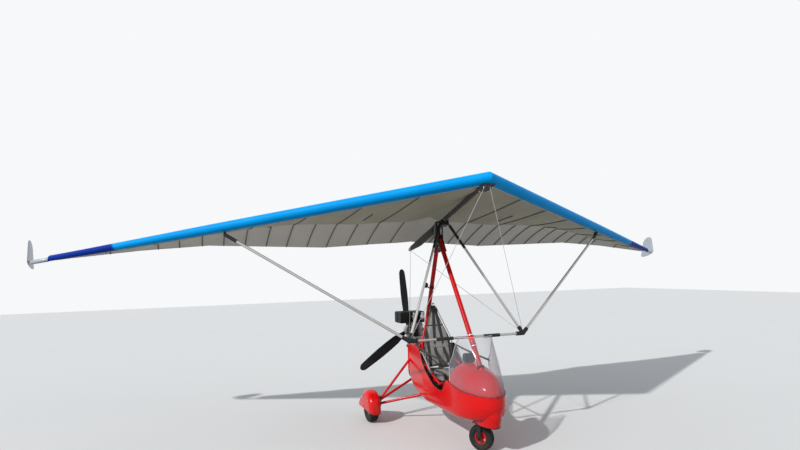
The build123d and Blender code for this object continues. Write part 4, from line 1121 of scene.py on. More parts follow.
def makeSpat(side, hand):
    middle = Vector((side * spat["track"], spat["aft"], spat["rise"]))
    half, edge = spat["half"], spat["edge"]
    profile = []
    for n in range(9):
        a = math.pi / 2 * n / 8
        profile.append((half - edge + edge * math.sin(a), edge - edge * math.cos(a), 1.0))
    profile += [(half + 0.004 * (1 - k * k), edge, k) for k in (0.86, 0.7, 0.5, 0.28, 0.08)]
    spread = [(-x, inset, k) for x, inset, k in profile[::-1]] + [(0.0, 0.0, 1.0)] + profile
    rows = []
    for x, inset, k in spread:
        loop = spatLoop(inset)
        core = Vector((0, 0.06, 0.0))
        rows.append([trike(*(middle + Vector((x, 0, 0)) + core + (p - core) * k)) for p in loop])
    name = "spat" + hand
    piece = skin(name, rows, [redGel, linerBlack], None, across=True)
    outward(piece)

    def openBelow(work):  # a level cut and a slanted one on the outer side
        for low, way in ((Vector((0, 0, spat["low"])), Vector((0, 0, 1))),
                         (Vector((middle.x + side * half, middle.y, spat["outerLow"])),
                          Vector((-side * 0.53, 0, 0.848)))):
            everything = work.verts[:] + work.edges[:] + work.faces[:]
            bmesh.ops.bisect_plane(work, geom=everything, plane_co=trike(*low), plane_no=way, clear_inner=True)

    reshape(piece, openBelow)
    faceAway(piece, trike(*(middle + Vector((0, 0.06, 0.03)))))
    settle(thicken(piece, spat["wall"]), "trike", "spat_" + hand.lower())
    lathe(name + "Grommet", mm((14, -3), (30, -3), (31, 2), (26, 5), (16, 5), (14, 2), (14, -3)),
          trike(side * (spat["track"] - half - 0.004), spat["aft"], spat["rise"]), (-side, 0, 0), rubber,
          "trike", sides=28)
    places = []
    for aft, up in ((-0.11, 0.10), (0.0, 0.145), (0.13, 0.10)):
        places.append((trike(side * (spat["track"] + half + 0.0035), spat["aft"] + aft, spat["rise"] + up),
                       (side, 0, 0)))
    repeat(name + "Screws", places, "screw", brightAlloy, "trike")


wheels = {  # tyre node, body, radius, half width, bead, axis turn in degrees, lugs
    "mainTyreLeft": ("main_tyre_left", "wheel_left", 0.185, 0.060, 0.088, 0.0, 40),
    "mainTyreRight": ("main_tyre_right", "wheel_right", 0.185, 0.060, 0.088, 0.0, 40),
    "noseTyre": ("nose_tyre", "nose_wheel", 0.136, 0.042, 0.066, 35.0, 34),
}


def makeTyre(name):
    node, body, radius, half, bead, turn, lugs = wheels[name]
    centre = sum(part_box(node), Vector()) / 2
    axis = Vector((math.cos(math.radians(turn)), math.sin(math.radians(turn)), 0))
    wall = radius - bead
    side = [(bead + 0.0006, 0.60), (bead + wall * 0.05, 0.70), (bead + wall * 0.16, 0.86),
            (bead + wall * 0.36, 0.97), (bead + wall * 0.56, 1.0), (bead + wall * 0.74, 0.93),
            (bead + wall * 0.86, 0.82), (bead + wall * 0.905, 0.74), (bead + wall * 0.93, 0.60),
            (bead + wall * 0.955, 0.44), (bead + wall * 0.90, 0.41), (bead + wall * 0.90, 0.36),
            (bead + wall * 0.97, 0.33), (bead + wall * 0.99, 0.10), (bead + wall * 0.93, 0.075)]
    profile = [(r, -x * half) for r, x in side] + [(r, x * half) for r, x in side[::-1]]
    profile.append(profile[0])
    tyre = lathe(name, profile, centre, axis, rubber, body, sides=72, angle=32)
    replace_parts(tyre, node)
    turning = axis.to_track_quat("Z", "Y").to_matrix()
    places = []
    for end in (-1, 1):
        for n in range(lugs):
            a = 2 * math.pi * (n + 0.25 * end) / lugs
            way = turning @ Vector((math.cos(a), math.sin(a), 0))
            places.append((centre + way * (bead + wall * 0.885) + axis * half * 0.76 * end,
                           way + axis * 0.9 * end))
    repeat(name + "Tread", places, "lug", rubber, body, size=radius / 0.185 * 0.95)
    nuts = []
    rim = half * 0.62
    for n in range(5):
        a = 2 * math.pi * (n + 0.5) / 5
        way = turning @ Vector((math.cos(a), math.sin(a), 0))
        for end in (-1, 1):
            nuts.append((centre + way * bead * 0.26 + axis * rim * end, axis * end))
    repeat(name + "Nuts", nuts, "bolt", steel, body, size=0.62)
    tubes(name + "Valve", [[centre + turning @ Vector((bead - 0.012, 0, rim * 0.3)), centre
                            + turning @ Vector((bead - 0.016, 0, rim + 0.010))]], 0.0032, blackMould, body,
          sides=10)


blade = {"first": -5.0, "aft": 1.180, "height": 1.045,
         "rows": [  # radius, chord, thickness, twist
             (0.0625, 0.052, 0.034, 40.0), (0.100, 0.066, 0.031, 38.0), (0.160, 0.096, 0.025, 33.5),
             (0.230, 0.120, 0.020, 30.0), (0.375, 0.129, 0.0165, 24.5), (0.520, 0.128, 0.014, 20.0),
             (0.700, 0.112, 0.0105, 16.5), (0.800, 0.100, 0.0085, 14.5), (0.870, 0.090, 0.0062, 13.0)],
         "round": 0.062, "bolts": 0.0375, "hub": 0.030,
         "tipRows": [0.8, 0.815, 0.83, 0.843, 0.853, 0.861, 0.866, 0.869, 0.870]}


def makeBlades():
    pieces = []
    for number in range(3):
        angle = math.radians(blade["first"] + 120 * number)
        turn = Matrix.Translation(trike(0, blade["aft"], blade["height"])) @ Matrix.Rotation(angle, 4, "Y")
        rows = []
        for radius in [mix(0.0625, 0.800, n / 34) for n in range(34)] + blade["tipRows"]:
            chord, thick, twist = table(blade["rows"], radius)
            past = max(0.0, (radius - 0.870 + blade["round"]) / blade["round"])
            narrow = math.sqrt(max(0.0004, 1 - past ** 2)) if past else 1.0
            place = Matrix.Rotation(math.radians(twist), 4, "Z")
            loop = []
            for a in around(36):
                across = math.cos(a)
                x = across * chord / 2 * narrow
                y = math.sin(a) * thick / 2 * (1.0 + 0.25 * across) * max(0.2, narrow)
                y += (1 - across * across) * thick * 0.12
                loop.append(turn @ (place @ Vector((x, y, 0)) + Vector((0, 0, radius))))
            rows.append(loop)
        pieces.append(form("blade", rows, bladeBlack))
    whole = outward(joinPieces("propellerBlades", pieces, "propeller", angle=60))
    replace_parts(whole, "propeller_blades")
    places = [(trike(blade["bolts"] * math.cos(a), blade["aft"] + blade["hub"],
                     blade["height"] + blade["bolts"] * math.sin(a)),
               (0, 1, 0)) for a in around(6)]
    repeat("hubBolts", places, "bolt", brightAlloy, "propeller", size=0.75)
    lathe("hubPlate", mm((20, -1), (58, -1), (60, 2), (56, 4.5), (22, 4.5), (20, 2), (20, -1)),
          trike(0, blade["aft"] - blade["hub"], blade["height"]), (0, -1, 0), brightAlloy, "propeller",
          sides=40)


seat = {"half": 0.200, "foot": 0.100, "bottom": 0.689, "top": 1.465, "lean": math.tan(math.radians(15.6)),
        "pad": 0.090, "widths": [(0.0, 1.0), (0.30, 1.0), (0.465, 0.925), (0.66, 0.63), (0.79, 0.425),
                                 (0.92, 0.25), (1.0, 0.16)],
        "base": {"front": -0.430, "back": 0.060, "low": 0.600, "high": 0.685}, "inset": 0.008, "cap": 0.012,
        "strip": 0.052}


def padCloth(name, colour, shade, dark, look):  # grey cloth with black panels between sewn lines
    material, where, shader = newFinish(name, colour, 0.8, {"Sheen Weight": 0.2, "Sheen Roughness": 0.5})
    across = (where.split(0) * 2850.0).maths("SINE")
    up = (where.split(2) * 2850.0).maths("SINE")
    clouds = where.noise(6.0, 5.0, 0.6)
    base = clouds.above(0.5, 0.25).colours(colour, shade)
    out = where.split(0).maths("ABSOLUTE")
    strip = out.above(look["strip"][0], 0.0012) * (1 - out.above(look["strip"][1], 0.0012))
    for low, high in look["bands"]:
        inside = where.split(2).above(low, 0.0012) * (1 - where.split(2).above(high, 0.0012))
        strip = strip.maths("MAXIMUM", inside)
    base = strip.over(base, dark)
    base = ((across * up).above(0.2, 0.8) * 0.3).over(base, (0.02, 0.02, 0.02))
    feed(base, shader, "Base Color")
    feed(where.noise(24.0) * 0.14 + 0.70, shader, "Roughness")
    feed((across * up * 0.4 + where.noise(70.0) * 0.7).bump(0.35, 0.0007), shader, "Normal")
    return material


padBack = padCloth("padBack", (0.36, 0.35, 0.33), (0.29, 0.28, 0.265), (0.020, 0.020, 0.021),
                   {"strip": (0.122, 0.160), "bands": [(1.19, 1.205), (1.40, 1.50)]})
padBase = padCloth("padBase", (0.30, 0.29, 0.28), (0.23, 0.22, 0.21), (0.020, 0.020, 0.021),
                   {"strip": (0.122, 0.160), "bands": []})


def inflate(piece, cap):  # the pad swells like filled cloth
    modify(piece, "REMESH", mode="VOXEL", voxel_size=0.0055)
    bake(piece)
    rest = [v.co.copy() for v in piece.data.vertices]
    sewn = piece.modifiers.new("cloth", "CLOTH")
    sewn.settings.use_pressure = True
    sewn.settings.uniform_pressure_force = 4.0
    sewn.settings.effector_weights.gravity = 0.0
    sewn.point_cache.frame_start, sewn.point_cache.frame_end = 1, 20
    for step in range(1, 21):
        bpy.context.scene.frame_set(step)
    swollen = piece.evaluated_get(bpy.context.evaluated_depsgraph_get()).data
    moved = [v.co.copy() for v in swollen.vertices]
    piece.modifiers.clear()
    for vertex, start, end in zip(piece.data.vertices, rest, moved):
        shift = end - start
        vertex.co = start + (shift.normalized() * cap if shift.length > cap else shift)
    bpy.context.scene.frame_set(1)
    return piece


def sew(piece, lines, depth, width=0.006):  # channels where the sewn lines pull the cloth in
    def change(work):
        for _ in range(3):
            bmesh.ops.smooth_vert(work, verts=work.verts, factor=0.5, use_axis_x=True, use_axis_y=True,
                                  use_axis_z=True)
        work.normal_update()
        for vertex in work.verts:
            near = min(abs(line(vertex.co)) for line in lines)
            vertex.co -= vertex.normal * depth * math.exp(-(near / width) ** 2)

    reshape(piece, change)
    modify(piece, "SUBSURF", levels=1, render_levels=1)
    bake(piece)
    piece.data.shade_smooth()


def roundLoop(half, depth, power=0.42, count=40):
    points = []
    for a in around(count):
        c, s = math.cos(a), math.sin(a)
        points.append((math.copysign(abs(c) ** power, c) * half, math.copysign(abs(s) ** power, s) * depth))
    return points


def endRound(t, share):  # how far a pad's end draws in
    near = min(t, 1 - t) / share
    return math.sqrt(max(0.02, 1 - (1 - min(1.0, near)) ** 2))


def makeSeat():
    inset, base = seat["inset"], seat["base"]
    loops = []
    for n in range(41):
        t = n / 40
        k = endRound(t, 0.05)
        y = mix(base["front"] + inset, base["back"] - inset, t)
        high = base["high"] - inset + 0.010 * math.sin(math.pi * t) - 0.004 * smooth((t - 0.4) / 0.5)
        middle, deep = (base["low"] + 0.004 + high) / 2, (high - base["low"] - 0.004) / 2
        loops.append([trike(x, y, middle + z) for x, z in roundLoop((seat["half"] - inset) * mix(0.93, 1, k),
                                                                    deep * k)])
    cushion = inflate(outward(form("seatCushion", loops, padBase)), seat["cap"])
    sew(cushion, [lambda p: abs(p.x) - seat["strip"], lambda p: p.y - hangBolt.y + 0.19, lambda p: p.z - 0.642],
        depth=0.006)
    settle(cushion, "trike", "seat_base")
    loops = []
    rise = seat["top"] - seat["bottom"]
    for n in range(65):
        t = n / 64
        z = mix(seat["bottom"] + inset, seat["top"] - inset, t)
        k = endRound(t, 0.045)
        half = seat["half"] * soft(seat["widths"], t, 0.04)[0] - inset
        rear = seat["foot"] + (z - seat["bottom"]) * seat["lean"] - inset
        deep = (seat["pad"] - 2 * inset) / 2 * mix(0.45, 1, k)
        middle = rear - (seat["pad"] - 2 * inset) / 2
        loops.append([trike(x, middle + y, z) for x, y in roundLoop(half * mix(0.75, 1, k), deep, 0.5)])
    back = inflate(outward(form("seatBackPad", loops, padBack)), seat["cap"])
    lines = [lambda p: abs(p.x) - seat["strip"], lambda p: (abs(p.z - 0.955) - 0.030),
             lambda p: (abs(p.z - 1.205) - 0.020)]
    sew(back, lines, depth=0.005)
    settle(back, "trike", "seat_back")
    outline = []
    for n in range(49):
        t = mix(0.02, 0.975, n / 48)
        z = seat["bottom"] + rise * t
        half = seat["half"] * soft(seat["widths"], t, 0.04)[0] - 0.010
        outline.append((half, seat["foot"] + (z - seat["bottom"]) * seat["lean"] - seat["pad"] + 0.010, z))
    line = [trike(-x, y, z) for x, y, z in outline] + [trike(x, y, z) for x, y, z in outline[::-1]]
    tubes("seatPiping", [evened(line, 4)], 0.0042, seatBlack, "trike", sides=10)
    y = seat["foot"] + (1.462 - seat["bottom"]) * seat["lean"] - 0.045
    lathe("headKnob", mm((0, 16), (12, 14.5), (20, 9), (23, 0), (20, -9), (10, -16), (0, -18)),
          trike(0, y - 0.03, 1.448), (0, -0.9, 0.3), brightAlloy, "trike", sides=28)


frameTube = {"radius": 0.014, "half": 0.178, "brace": 0.217, "level": 0.5853, "bend": 0.990, "top": 1.400,
             "topHalf": 0.030, "front": -0.400, "stay": 0.786}


def seatRear(z):
    return seat["foot"] + (z - seat["bottom"]) * seat["lean"] + 0.0153


def makeSeatFrame():
    t = frameTube
    paths = []
    for side in (-1, 1):
        corner = [trike(side * t["half"], y, t["level"]) for y in (t["front"], seatRear(t["level"]) - 0.07)]
        corner.append(trike(side * t["half"], seatRear(t["level"]) + 0.004, t["level"] + 0.030))
        corner += [trike(side * t["half"], seatRear(z), z) for z in (0.68, 0.80, 0.92)]
        corner.append(trike(side * (t["half"] - 0.004), seatRear(t["bend"]), t["bend"]))
        for share in (0.12, 0.5, 0.9, 1.0):
            z = mix(t["bend"], t["top"], share)
            corner.append(trike(side * mix(t["half"], t["topHalf"], share), seatRear(z), z))
        paths.append(curveThrough(corner, 6))
        paths.append([trike(side * t["brace"], t["front"], t["level"]),
                      trike(side * t["brace"], seatRear(t["stay"]), t["stay"])])
    for y, z, half in ((t["front"], t["level"], t["brace"]),
                       (seatRear(t["level"]) - 0.03, t["level"], t["half"]),
                       (seatRear(t["stay"]), t["stay"], t["brace"]),
                       (seatRear(t["top"]), t["top"], t["topHalf"]),
                       (seatRear(t["bend"]), t["bend"], t["half"])):
        paths.append([trike(-half, y, z), trike(half, y, z)])
    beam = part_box("keel_beam")[1][2]
    for y in (t["front"], seatRear(t["level"]) - 0.03):
        paths.append([trike(0, y, beam), trike(0, y, t["level"])])
    mastAft = (trikeSize["hang"] - t["bend"]) * math.tan(math.radians(trikeSize["mastLean"])) - 0.026
    paths.append([trike(0, seatRear(t["bend"]), t["bend"]), trike(0, mastAft, t["bend"])])
    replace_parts(tubes("seatTubes", paths, t["radius"], redTube, "trike", sides=18), "seat_frame")
    bolts = []
    for side in (-1, 1):
        for y, z in ((t["front"], t["level"]), (seatRear(t["stay"]), t["stay"])):
            bolts.append((trike(side * (t["brace"] + t["radius"] - 0.001), y, z), (side, 0, 0)))
    repeat("seatBolts", bolts, "bolt", steel, "trike", size=0.7)
    stays = [[trike(side * 0.236, 0.064, 0.884), trike(side * 0.236, -0.197, 0.684)] for side in (-1, 1)]
    tubes("seatStays", stays, 0.009, silverTube, "trike", sides=14)
    pins = [[p + Vector((-0.018, 0, 0)), p + Vector((0.018, 0, 0))] for stay in stays for p in stay]
    tubes("stayPins", pins, 0.005, steel, "trike", sides=10)


def makeStraps():
    for side, name in ((-1, "sideStrapRight"), (1, "sideStrapLeft")):
        path = [trike(side * x, y, z) for x, y, z in ((0.244, 0.210, 0.952), (0.254, 0.110, 0.934),
                                                      (0.259, -0.09, 0.910), (0.256, -0.34, 0.890),
                                                      (0.250, -0.742, 0.868))]
        strap(name, evened(curveThrough(path, 6), 4), 0.024, 0.0024, (0, 0, 1), webBlack, "trike")
        lathe(name + "Stud", mm((0, 6), (6, 5.5), (10, 3), (11, 0), (0, 0)),
              trike(side * 0.2505, -0.730, 0.8685), (side, 0, 0), brightAlloy, "trike", sides=18)
    for side, name in ((-1, "lapBeltRight"), (1, "lapBeltLeft")):
        path = [(side * 0.205, 0.040, 0.640), (side * 0.203, 0.020, 0.680), (side * 0.188, 0.000, 0.701),
                (side * 0.120, -0.045, 0.703), (side * 0.045, -0.085, 0.704)]
        strap(name, evened(curveThrough([trike(*p) for p in path], 6), 2), 0.042, 0.0022, (0, 1, 0.2),
              webBlack, "trike")
    for side, name in ((-1, "shoulderBeltRight"), (1, "shoulderBeltLeft")):
        path = []
        for z, out in ((1.405, 0.016), (1.30, 0.024), (1.16, 0.038), (1.02, 0.052), (0.90, 0.058)):
            path.append((side * out, seat["foot"] + (z - seat["bottom"]) * seat["lean"] - seat["pad"] - 0.004,
                         z))
        path += [(side * 0.056, -0.045, 0.800), (side * 0.046, -0.078, 0.730), (side * 0.030, -0.094, 0.712)]
        strap(name, evened(curveThrough([trike(*p) for p in path], 8), 6), 0.040, 0.0022, (1, 0, 0), webBlack,
              "trike")
    rows = [[trike(x * k, -0.098 + y * k, 0.706 + height) for x, y in roundLoop(0.046, 0.026, 0.5, 28)]
            for k, height in ((0.86, -0.006), (1.0, -0.003), (1.0, 0.004), (0.9, 0.0075), (0.2, 0.0085))]
    outward(form("beltBuckle", rows, brightAlloy, "trike", angle=40))


makeChin()
for side, hand in hands:
    makeSpat(side, hand)
for name in wheels:
    makeTyre(name)
makeBlades()
print("spats, wheels and propeller")
makeSeat()
makeSeatFrame()
makeStraps()
print("seat")

# wing fittings: covers on the keel tube and uprights, whose dark colour is painted shade on the uprights and
# partly painted shade on the keel tube, the rear fairing and the hang strap
rig = {"keel": 0.140, "apexForward": 0.205, "apexHalf": 0.034, "barForward": 0.415, "barDrop": 1.455,
       "barHalf": 0.700, "coverRadius": 0.0268, "cover": (-1.30, -0.80, -0.252), "topShadeRadius": 0.0172,
       "sleeve": (0.080, 0.415), "tangRadius": 0.0105, "tang": (0.0, 0.11), "fairing": (0.082, 0.932),
       "tubeHalf": 0.0275, "tubeDeep": 0.0285, "keelEnd": 0.996, "plateLow": 0.0782,
       "armFoot": (0, 0.282, 1.655), "armBend": (0, 0.36, 1.660), "armEnd": (0, 0.452, 1.690),
       "clampLow": (0, 0.2674, 1.652), "clampHigh": (0, 0.2586, 1.692), "clampRadius": 0.0305}


def along(start, end, length):
    return start + (end - start).normalized() * length


def makeRigging():
    # the keel pocket: a real pocket, its near-black colour partly painted shade under the sail
    tubes("keelCover", [[wing(0, y, rig["keel"]) for y in rig["cover"]]], rig["coverRadius"], darkCoverAndShade, "wing",
          sides=20)
    paths, tangs = [], []
    for side in (-1, 1):
        apex = wing(side * rig["apexHalf"], -rig["apexForward"], rig["keel"])
        corner = wing(side * rig["barHalf"], -rig["barForward"], rig["keel"] - rig["barDrop"])
        # black sleeves down the uprights' tops: painted shade of the wing over the tubes
        paths.append([along(apex, corner, length) for length in rig["sleeve"]])
        tangs.append([along(apex, corner, length) for length in rig["tang"]])
    tubes("uprightSleeves", paths, rig["topShadeRadius"], blackMould, "wing", sides=18)
    tubes("uprightTangs", tangs, rig["tangRadius"], blackCoat, "wing", sides=14)
    loops = []
    for n in range(41):
        t = n / 40
        y = mix(*rig["fairing"], t)
        k = min(mix(0.72, 1.0, smooth(t / 0.08)), mix(1.0, 0.0, smooth((t - 0.62) / 0.42)))
        half, deep = mix(rig["tubeHalf"], 0.034, k), mix(rig["tubeDeep"], 0.046, k)
        middle = rig["keel"] - (deep - rig["tubeDeep"]) * 0.9
        loops.append([wing(x, y, middle + z) for x, z in roundLoop(half, deep, 0.62, 32)])
    settle(outward(form("keelFairing", loops, darkCoverAndShade)), "wing", "keel_pocket")
    lathe("keelEnd", mm((0, 70), (4, 66), (12, 40), (23.5, 6), (26.2, 0), (26.2, -18), (25.2, -18)),
          wing(0, rig["keelEnd"], rig["keel"]), wingTurn.to_3x3() @ Vector((0, 1, 0)), blackMould, "wing",
          sides=24)
    for side, name in ((-1, "hangStrapRight"), (1, "hangStrapLeft")):
        points = [(0.010, -0.006, 2.499), (0.034, -0.006, 2.487), (0.050, -0.006, 2.440),
                  (0.0525, -0.004, 2.360), (0.0525, 0.0, 2.250), (0.0500, 0.004, 2.165)]
        path = evened(curveThrough([trike(side * x, y, z) for x, y, z in points], 6), 3)
        strap(name, path, 0.042, 0.0045, (0, 1, 0), webGrey, "hang")
        buckle = [trike(side * 0.0555, y, z) for y, z in ((-0.026, 2.275), (0.026, 2.275), (0.026, 2.235),
                                                          (-0.026, 2.235))]
        tubes(name + "Buckle", [buckle], 0.0032, steel, "hang", sides=10, closed=True)
    nuts = []
    for side in (-1, 1):
        for y, z in ((0.030, 2.215), (-0.045, 2.215), (0.056, 2.155), (-0.085, 2.165)):
            nuts.append((trike(side * 0.0352, y, z), (side, 0, 0)))
    repeat("headBolts", nuts, "bolt", steel, "trike", size=0.72)
    below = wingTurn.to_3x3() @ Vector((0, 0, -1))
    plate = [(wing(x, y, rig["plateLow"]), below) for x in (-0.05, 0.05) for y in (-1.37, -1.27)]
    repeat("noseBolts", plate, "bolt", steel, "wing", size=0.7)
    arm = [trike(*rig[key]) for key in ("armFoot", "armBend", "armEnd")]
    tubes("mastArm", [curveThrough(arm)], 0.008, blackCoat, "trike", sides=12)
    lathe("mastHorn", mm((0, 30), (20, 28), (31, 18), (34, 2), (30, -18), (18, -34), (0, -40)),
          arm[-1] + Vector((0, 0.012, 0.004)), (0, 0.5, 0.85), blackMould, "trike", sides=28)
    tubes("mastClamp", [[trike(*rig["clampLow"]), trike(*rig["clampHigh"])]], rig["clampRadius"], blackMould,
          "trike", sides=28)


# engine: casing, heads, fan, carburettors and exhaust
engine = {"half": 0.085, "deep": 0.075, "front": 0.690, "middle": 0.935, "cylinders": (0.7791, 0.9309),
          "head": 1.156, "face": 0.7097, "throat": 1.274, "places": (-0.095, 0.020),
          "fan": {"x": -0.112, "z": 1.156, "front": 0.642, "back": 0.704, "radius": 0.062, "bars": 18,
                  "slant": 0.22},
          "muffler": {"x": 0.208, "z": 0.905, "front": 0.700, "back": 1.070, "radius": 0.056}, "port": 1.080}


def makeEngine():
    loops = []
    for y, k in ((0, 0.80), (0.004, 0.93), (0.012, 0.97), (0.050, 0.97), (0.051, 1.0), (0.060, 1.0),
                 (0.061, 0.95), (0.160, 0.95), (0.161, 1.0), (0.170, 1.0), (0.171, 0.95), (0.270, 0.95),
                 (0.271, 1.0), (0.280, 1.0), (0.281, 0.97), (0.322, 0.97), (0.328, 0.93), (0.330, 0.80)):
        loops.append([trike(x, engine["front"] + y, engine["middle"] + z)
                      for x, z in roundLoop(engine["half"] * k, engine["deep"] * k, 0.36, 44)])
    settle(setSharp(outward(form("crankcaseCasting", loops, castAlloy)), 32), "trike",
           "crankcase")
    bolts = [(trike(side * (engine["half"] + 0.0002), engine["front"] + aft, engine["middle"] + rise),
              (side, 0, 0))
             for side in (-1, 1) for aft in (0.055, 0.165, 0.275) for rise in (-0.045, 0.045)]
    repeat("casingBolts", bolts, "bolt", steel, "trike", size=0.5)
    heads, caps, leads = [], [], []
    for aft in engine["cylinders"]:
        profile = [(0.0, 0.0), (0.062, 0.0), (0.064, 0.001)]
        for n in range(3):
            low = 0.004 + n * 0.008
            profile += [(0.046, low), (0.066 - n * 0.006, low + 0.001), (0.066 - n * 0.006, low + 0.004),
                        (0.046, low + 0.005)]
        profile += [(0.030, 0.026), (0.0, 0.027)]
        heads.append(lathe("head", profile, trike(0, aft, engine["head"]), (0, 0, 1), castAlloy, None,
                           sides=36))
        foot = trike(-0.047, aft - 0.02, engine["head"] + 0.008)
        way = Vector((-0.75, -0.35, 0.25)).normalized()
        caps.append(lathe("cap", mm((0, 46), (6, 45), (8.5, 36), (8.5, 6), (10, 4), (10, -4), (0, -4)), foot,
                          way, blackMould, None, sides=16))
        start = foot + way * 0.044
        leads.append(curveThrough([start, start + way * 0.02 + Vector((0, 0, 0.006)),
                                   start + Vector((-0.030, -0.045, -0.020)),
                                   trike(-0.095, engine["front"] + 0.02, 1.06),
                                   trike(-0.070, engine["front"] + 0.03, 0.995)]))
    joinPieces("cylinderHeads", heads, "trike")
    joinPieces("plugCaps", caps, "trike")
    tubes("plugLeads", leads, 0.0036, blackMould, "trike", sides=10)
    fan = engine["fan"]
    centre = trike(fan["x"], fan["front"], fan["z"])
    r, deep = fan["radius"], fan["back"] - fan["front"]
    lathe("fanHousing", [(0.0, 0.014), (r * 0.86, 0.014), (r * 0.86, 0.002), (r * 0.90, 0.0), (r * 0.97, 0.0),
                         (r, 0.003), (r, deep * 0.45), (r * 0.94, deep * 0.5), (r * 0.94, deep), (0.0, deep)],
          centre, (0, 1, 0), exhaustBlack, "trike", sides=48)
    lathe("fanHub", mm((0, -6), (12, -5), (17, 0), (18, 14), (0, 14)), centre, (0, 1, 0), brightAlloy,
          "trike", sides=28)
    bars = []
    for a in around(fan["bars"]):
        b = a + fan["slant"]
        bars.append([centre + Vector((math.cos(a), 0, math.sin(a))) * r * 0.28 + Vector((0, 0.004, 0)),
                     centre + Vector((math.cos(b), 0, math.sin(b))) * r * 0.88 + Vector((0, 0.003, 0))])
    tubes("fanGrille", bars, 0.0016, brightAlloy, "trike", sides=8)
    rings = [[centre + Vector((math.cos(a) * k, 0.0035 / r, math.sin(a) * k)) * r for a in around(40)]
             for k in (0.50, 0.70, 0.93)]
    tubes("fanRings", rings, 0.0022, brightAlloy, "trike", sides=8, closed=True)
    loops = []
    for z in (1.0103, 1.06, 1.11, 1.16):
        lean = mix(-0.060, -0.085, (z - 1.01) / 0.15)
        loops.append([trike(lean + x, 0.699 + y, z) for x, y in roundLoop(0.038, 0.005, 0.3, 20)])
    settle(setSharp(outward(form("fanPlate", loops, blackCoat)), 30), "trike")
    bodies, bowls = [], []
    for x in engine["places"]:
        middle = trike(x, engine["face"] - 0.029, engine["throat"])
        bodies.append(lathe("body", mm((0, 29), (20, 29), (20, 20), (26, 16), (26, -10), (22, -14), (22, -24),
                                       (25, -29), (19, -29), (16, -16), (0, -14)), middle,
                            (0, 1, 0), brightAlloy, None, sides=32))
        bodies.append(lathe("slide", mm((0, 52), (10, 52), (14.5, 47), (14.5, 36), (16.5, 34), (16.5, 18),
                                        (0, 18)), middle, (0, 0, 1), brightAlloy, None, sides=24))
        bowls.append(lathe("bowl", mm((0, -54), (8, -54), (12, -50), (19, -47), (20.5, -42), (20.5, -24),
                                      (22.5, -22), (22.5, -16), (0, -16)), middle, (0, 0, 1), castAlloy,
                           None, sides=24))
    joinPieces("carburettorBodies", bodies + bowls, "trike")
    seam = roundLoop(0.1762, 0.0762, 0.14, 60)
    tubes("airboxSeam", [[trike(-0.100 + x, 0.835, 1.259 + z) for x, z in seam]], 0.0030, blackCoat, "trike",
          sides=8, closed=True)
    m = engine["muffler"]
    radius, run = m["radius"], m["back"] - m["front"]
    lathe("mufflerCan", [(0.0, 0.0), (radius * 0.5, 0.004), (radius * 0.85, 0.014), (radius, 0.030),
                         (radius, 0.10), (radius * 1.03, 0.102), (radius * 1.03, 0.112), (radius, 0.114),
                         (radius, run - 0.030), (radius * 0.85, run - 0.014), (radius * 0.5, run - 0.004),
                         (0.0, run)], trike(m["x"], m["front"], m["z"]), (0, 1, 0), exhaustBlack, "trike",
          sides=40)
    pipes = []
    for aft in engine["cylinders"]:
        pipes.append(curveThrough([trike(0.050, aft, engine["port"]), trike(0.100, aft, engine["port"]),
                                   trike(0.150, aft, engine["port"] - 0.022),
                                   trike(0.190, aft, engine["port"] - 0.085),
                                   trike(m["x"], aft, m["z"] + 0.040)], 8))
    tubes("exhaustPipes", pipes, 0.018, exhaustBlack, "trike", sides=18)
    tubes("exhaustOutlet", [curveThrough([trike(m["x"], m["back"] - 0.06, m["z"] - 0.04),
                                          trike(m["x"] + 0.02, m["back"] - 0.06, m["z"] - 0.085),
                                          trike(m["x"] + 0.045, m["back"] - 0.055, m["z"] - 0.120)], 6)],
          0.014, exhaustBlack, "trike", sides=18)
    loops = [[trike(x, 0.855 + y, 0.935 - (x - 0.08) * 0.1 + z) for y, z in roundLoop(0.016, 0.005, 0.3, 20)]
             for x in (0.080, 0.11, 0.14, 0.165)]
    settle(setSharp(outward(form("mufflerBracket", loops, blackCoat)), 30), "trike")
    low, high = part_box("fuel_tank")
    cap = Vector(((low.x + high.x) / 2 - 0.09, (low.y + high.y) / 2, high.z))
    lathe("tankCap", mm((0, 24), (24, 24), (29, 20), (30, 6), (36, 4), (38, -2), (0, -2)),
          cap, (0, 0, 1), blackMould, "trike", sides=32)


def makeJointSleeve():
    low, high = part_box("front_tube_sleeve")
    middle = (low + high) / 2
    half = (high.z - low.z) / 2 / -frontSlope.z - 0.018
    sleeve = lathe("jointSleeve", [(0.0272, -half), (0.0300, -half), (0.0312, -half + 0.002),
                                   (0.0312, half - 0.002), (0.0300, half), (0.0272, half), (0.0272, -half)],
                   middle, frontSlope, redTube, "trike", sides=32)
    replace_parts(sleeve, "front_tube_sleeve")
    rings = []
    for at in (-half, half):
        rings.append(lathe("ring", mm((27.4, -6), (32.5, -6), (33.5, -4), (33.5, 4), (32.5, 6), (27.4, 6),
                                      (27.4, -6)), middle + frontSlope * at, frontSlope, brightAlloy, None,
                           sides=32))
    joinPieces("jointRings", rings, "trike")


makeRigging()
makeEngine()
makeJointSleeve()
print("rigging and engine")

# finishes for the parts that keep their solid's shape
plainFinishes = [
    (redTube, ["keel_beam", "mast", "front_tube", "steering_head", "gear_tubes_left", "gear_tubes_right"]),
    (blackCoat, ["nose_plate", "apex_bracket", "mast_head", "engine_mount", "hub_bracket_left",
                 "hub_bracket_right", "nose_fork", "hang_block"]),
    (steel, ["stay_wires", "propeller_hub"]),
    (redGel, ["nose_rim"]),
    (blackMould, ["instrument_panel", "airbox", "corner_fittings", "strut_cuffs"]),
    (tankPlastic, ["fuel_tank"]),
    (castAlloy, ["cylinders", "gearbox"]),
    (brightAlloy, ["main_rim_left", "main_rim_right"]),
    (silverTube, ["keel_tube", "upright_left", "upright_right", "base_bar", "strut_left", "strut_right"]),
    (gripFoam, ["bar_grips"]),
]
for finish, names in plainFinishes:
    for name in names:
        materials = parts[name].data.materials
        materials.clear()
        materials.append(finish)


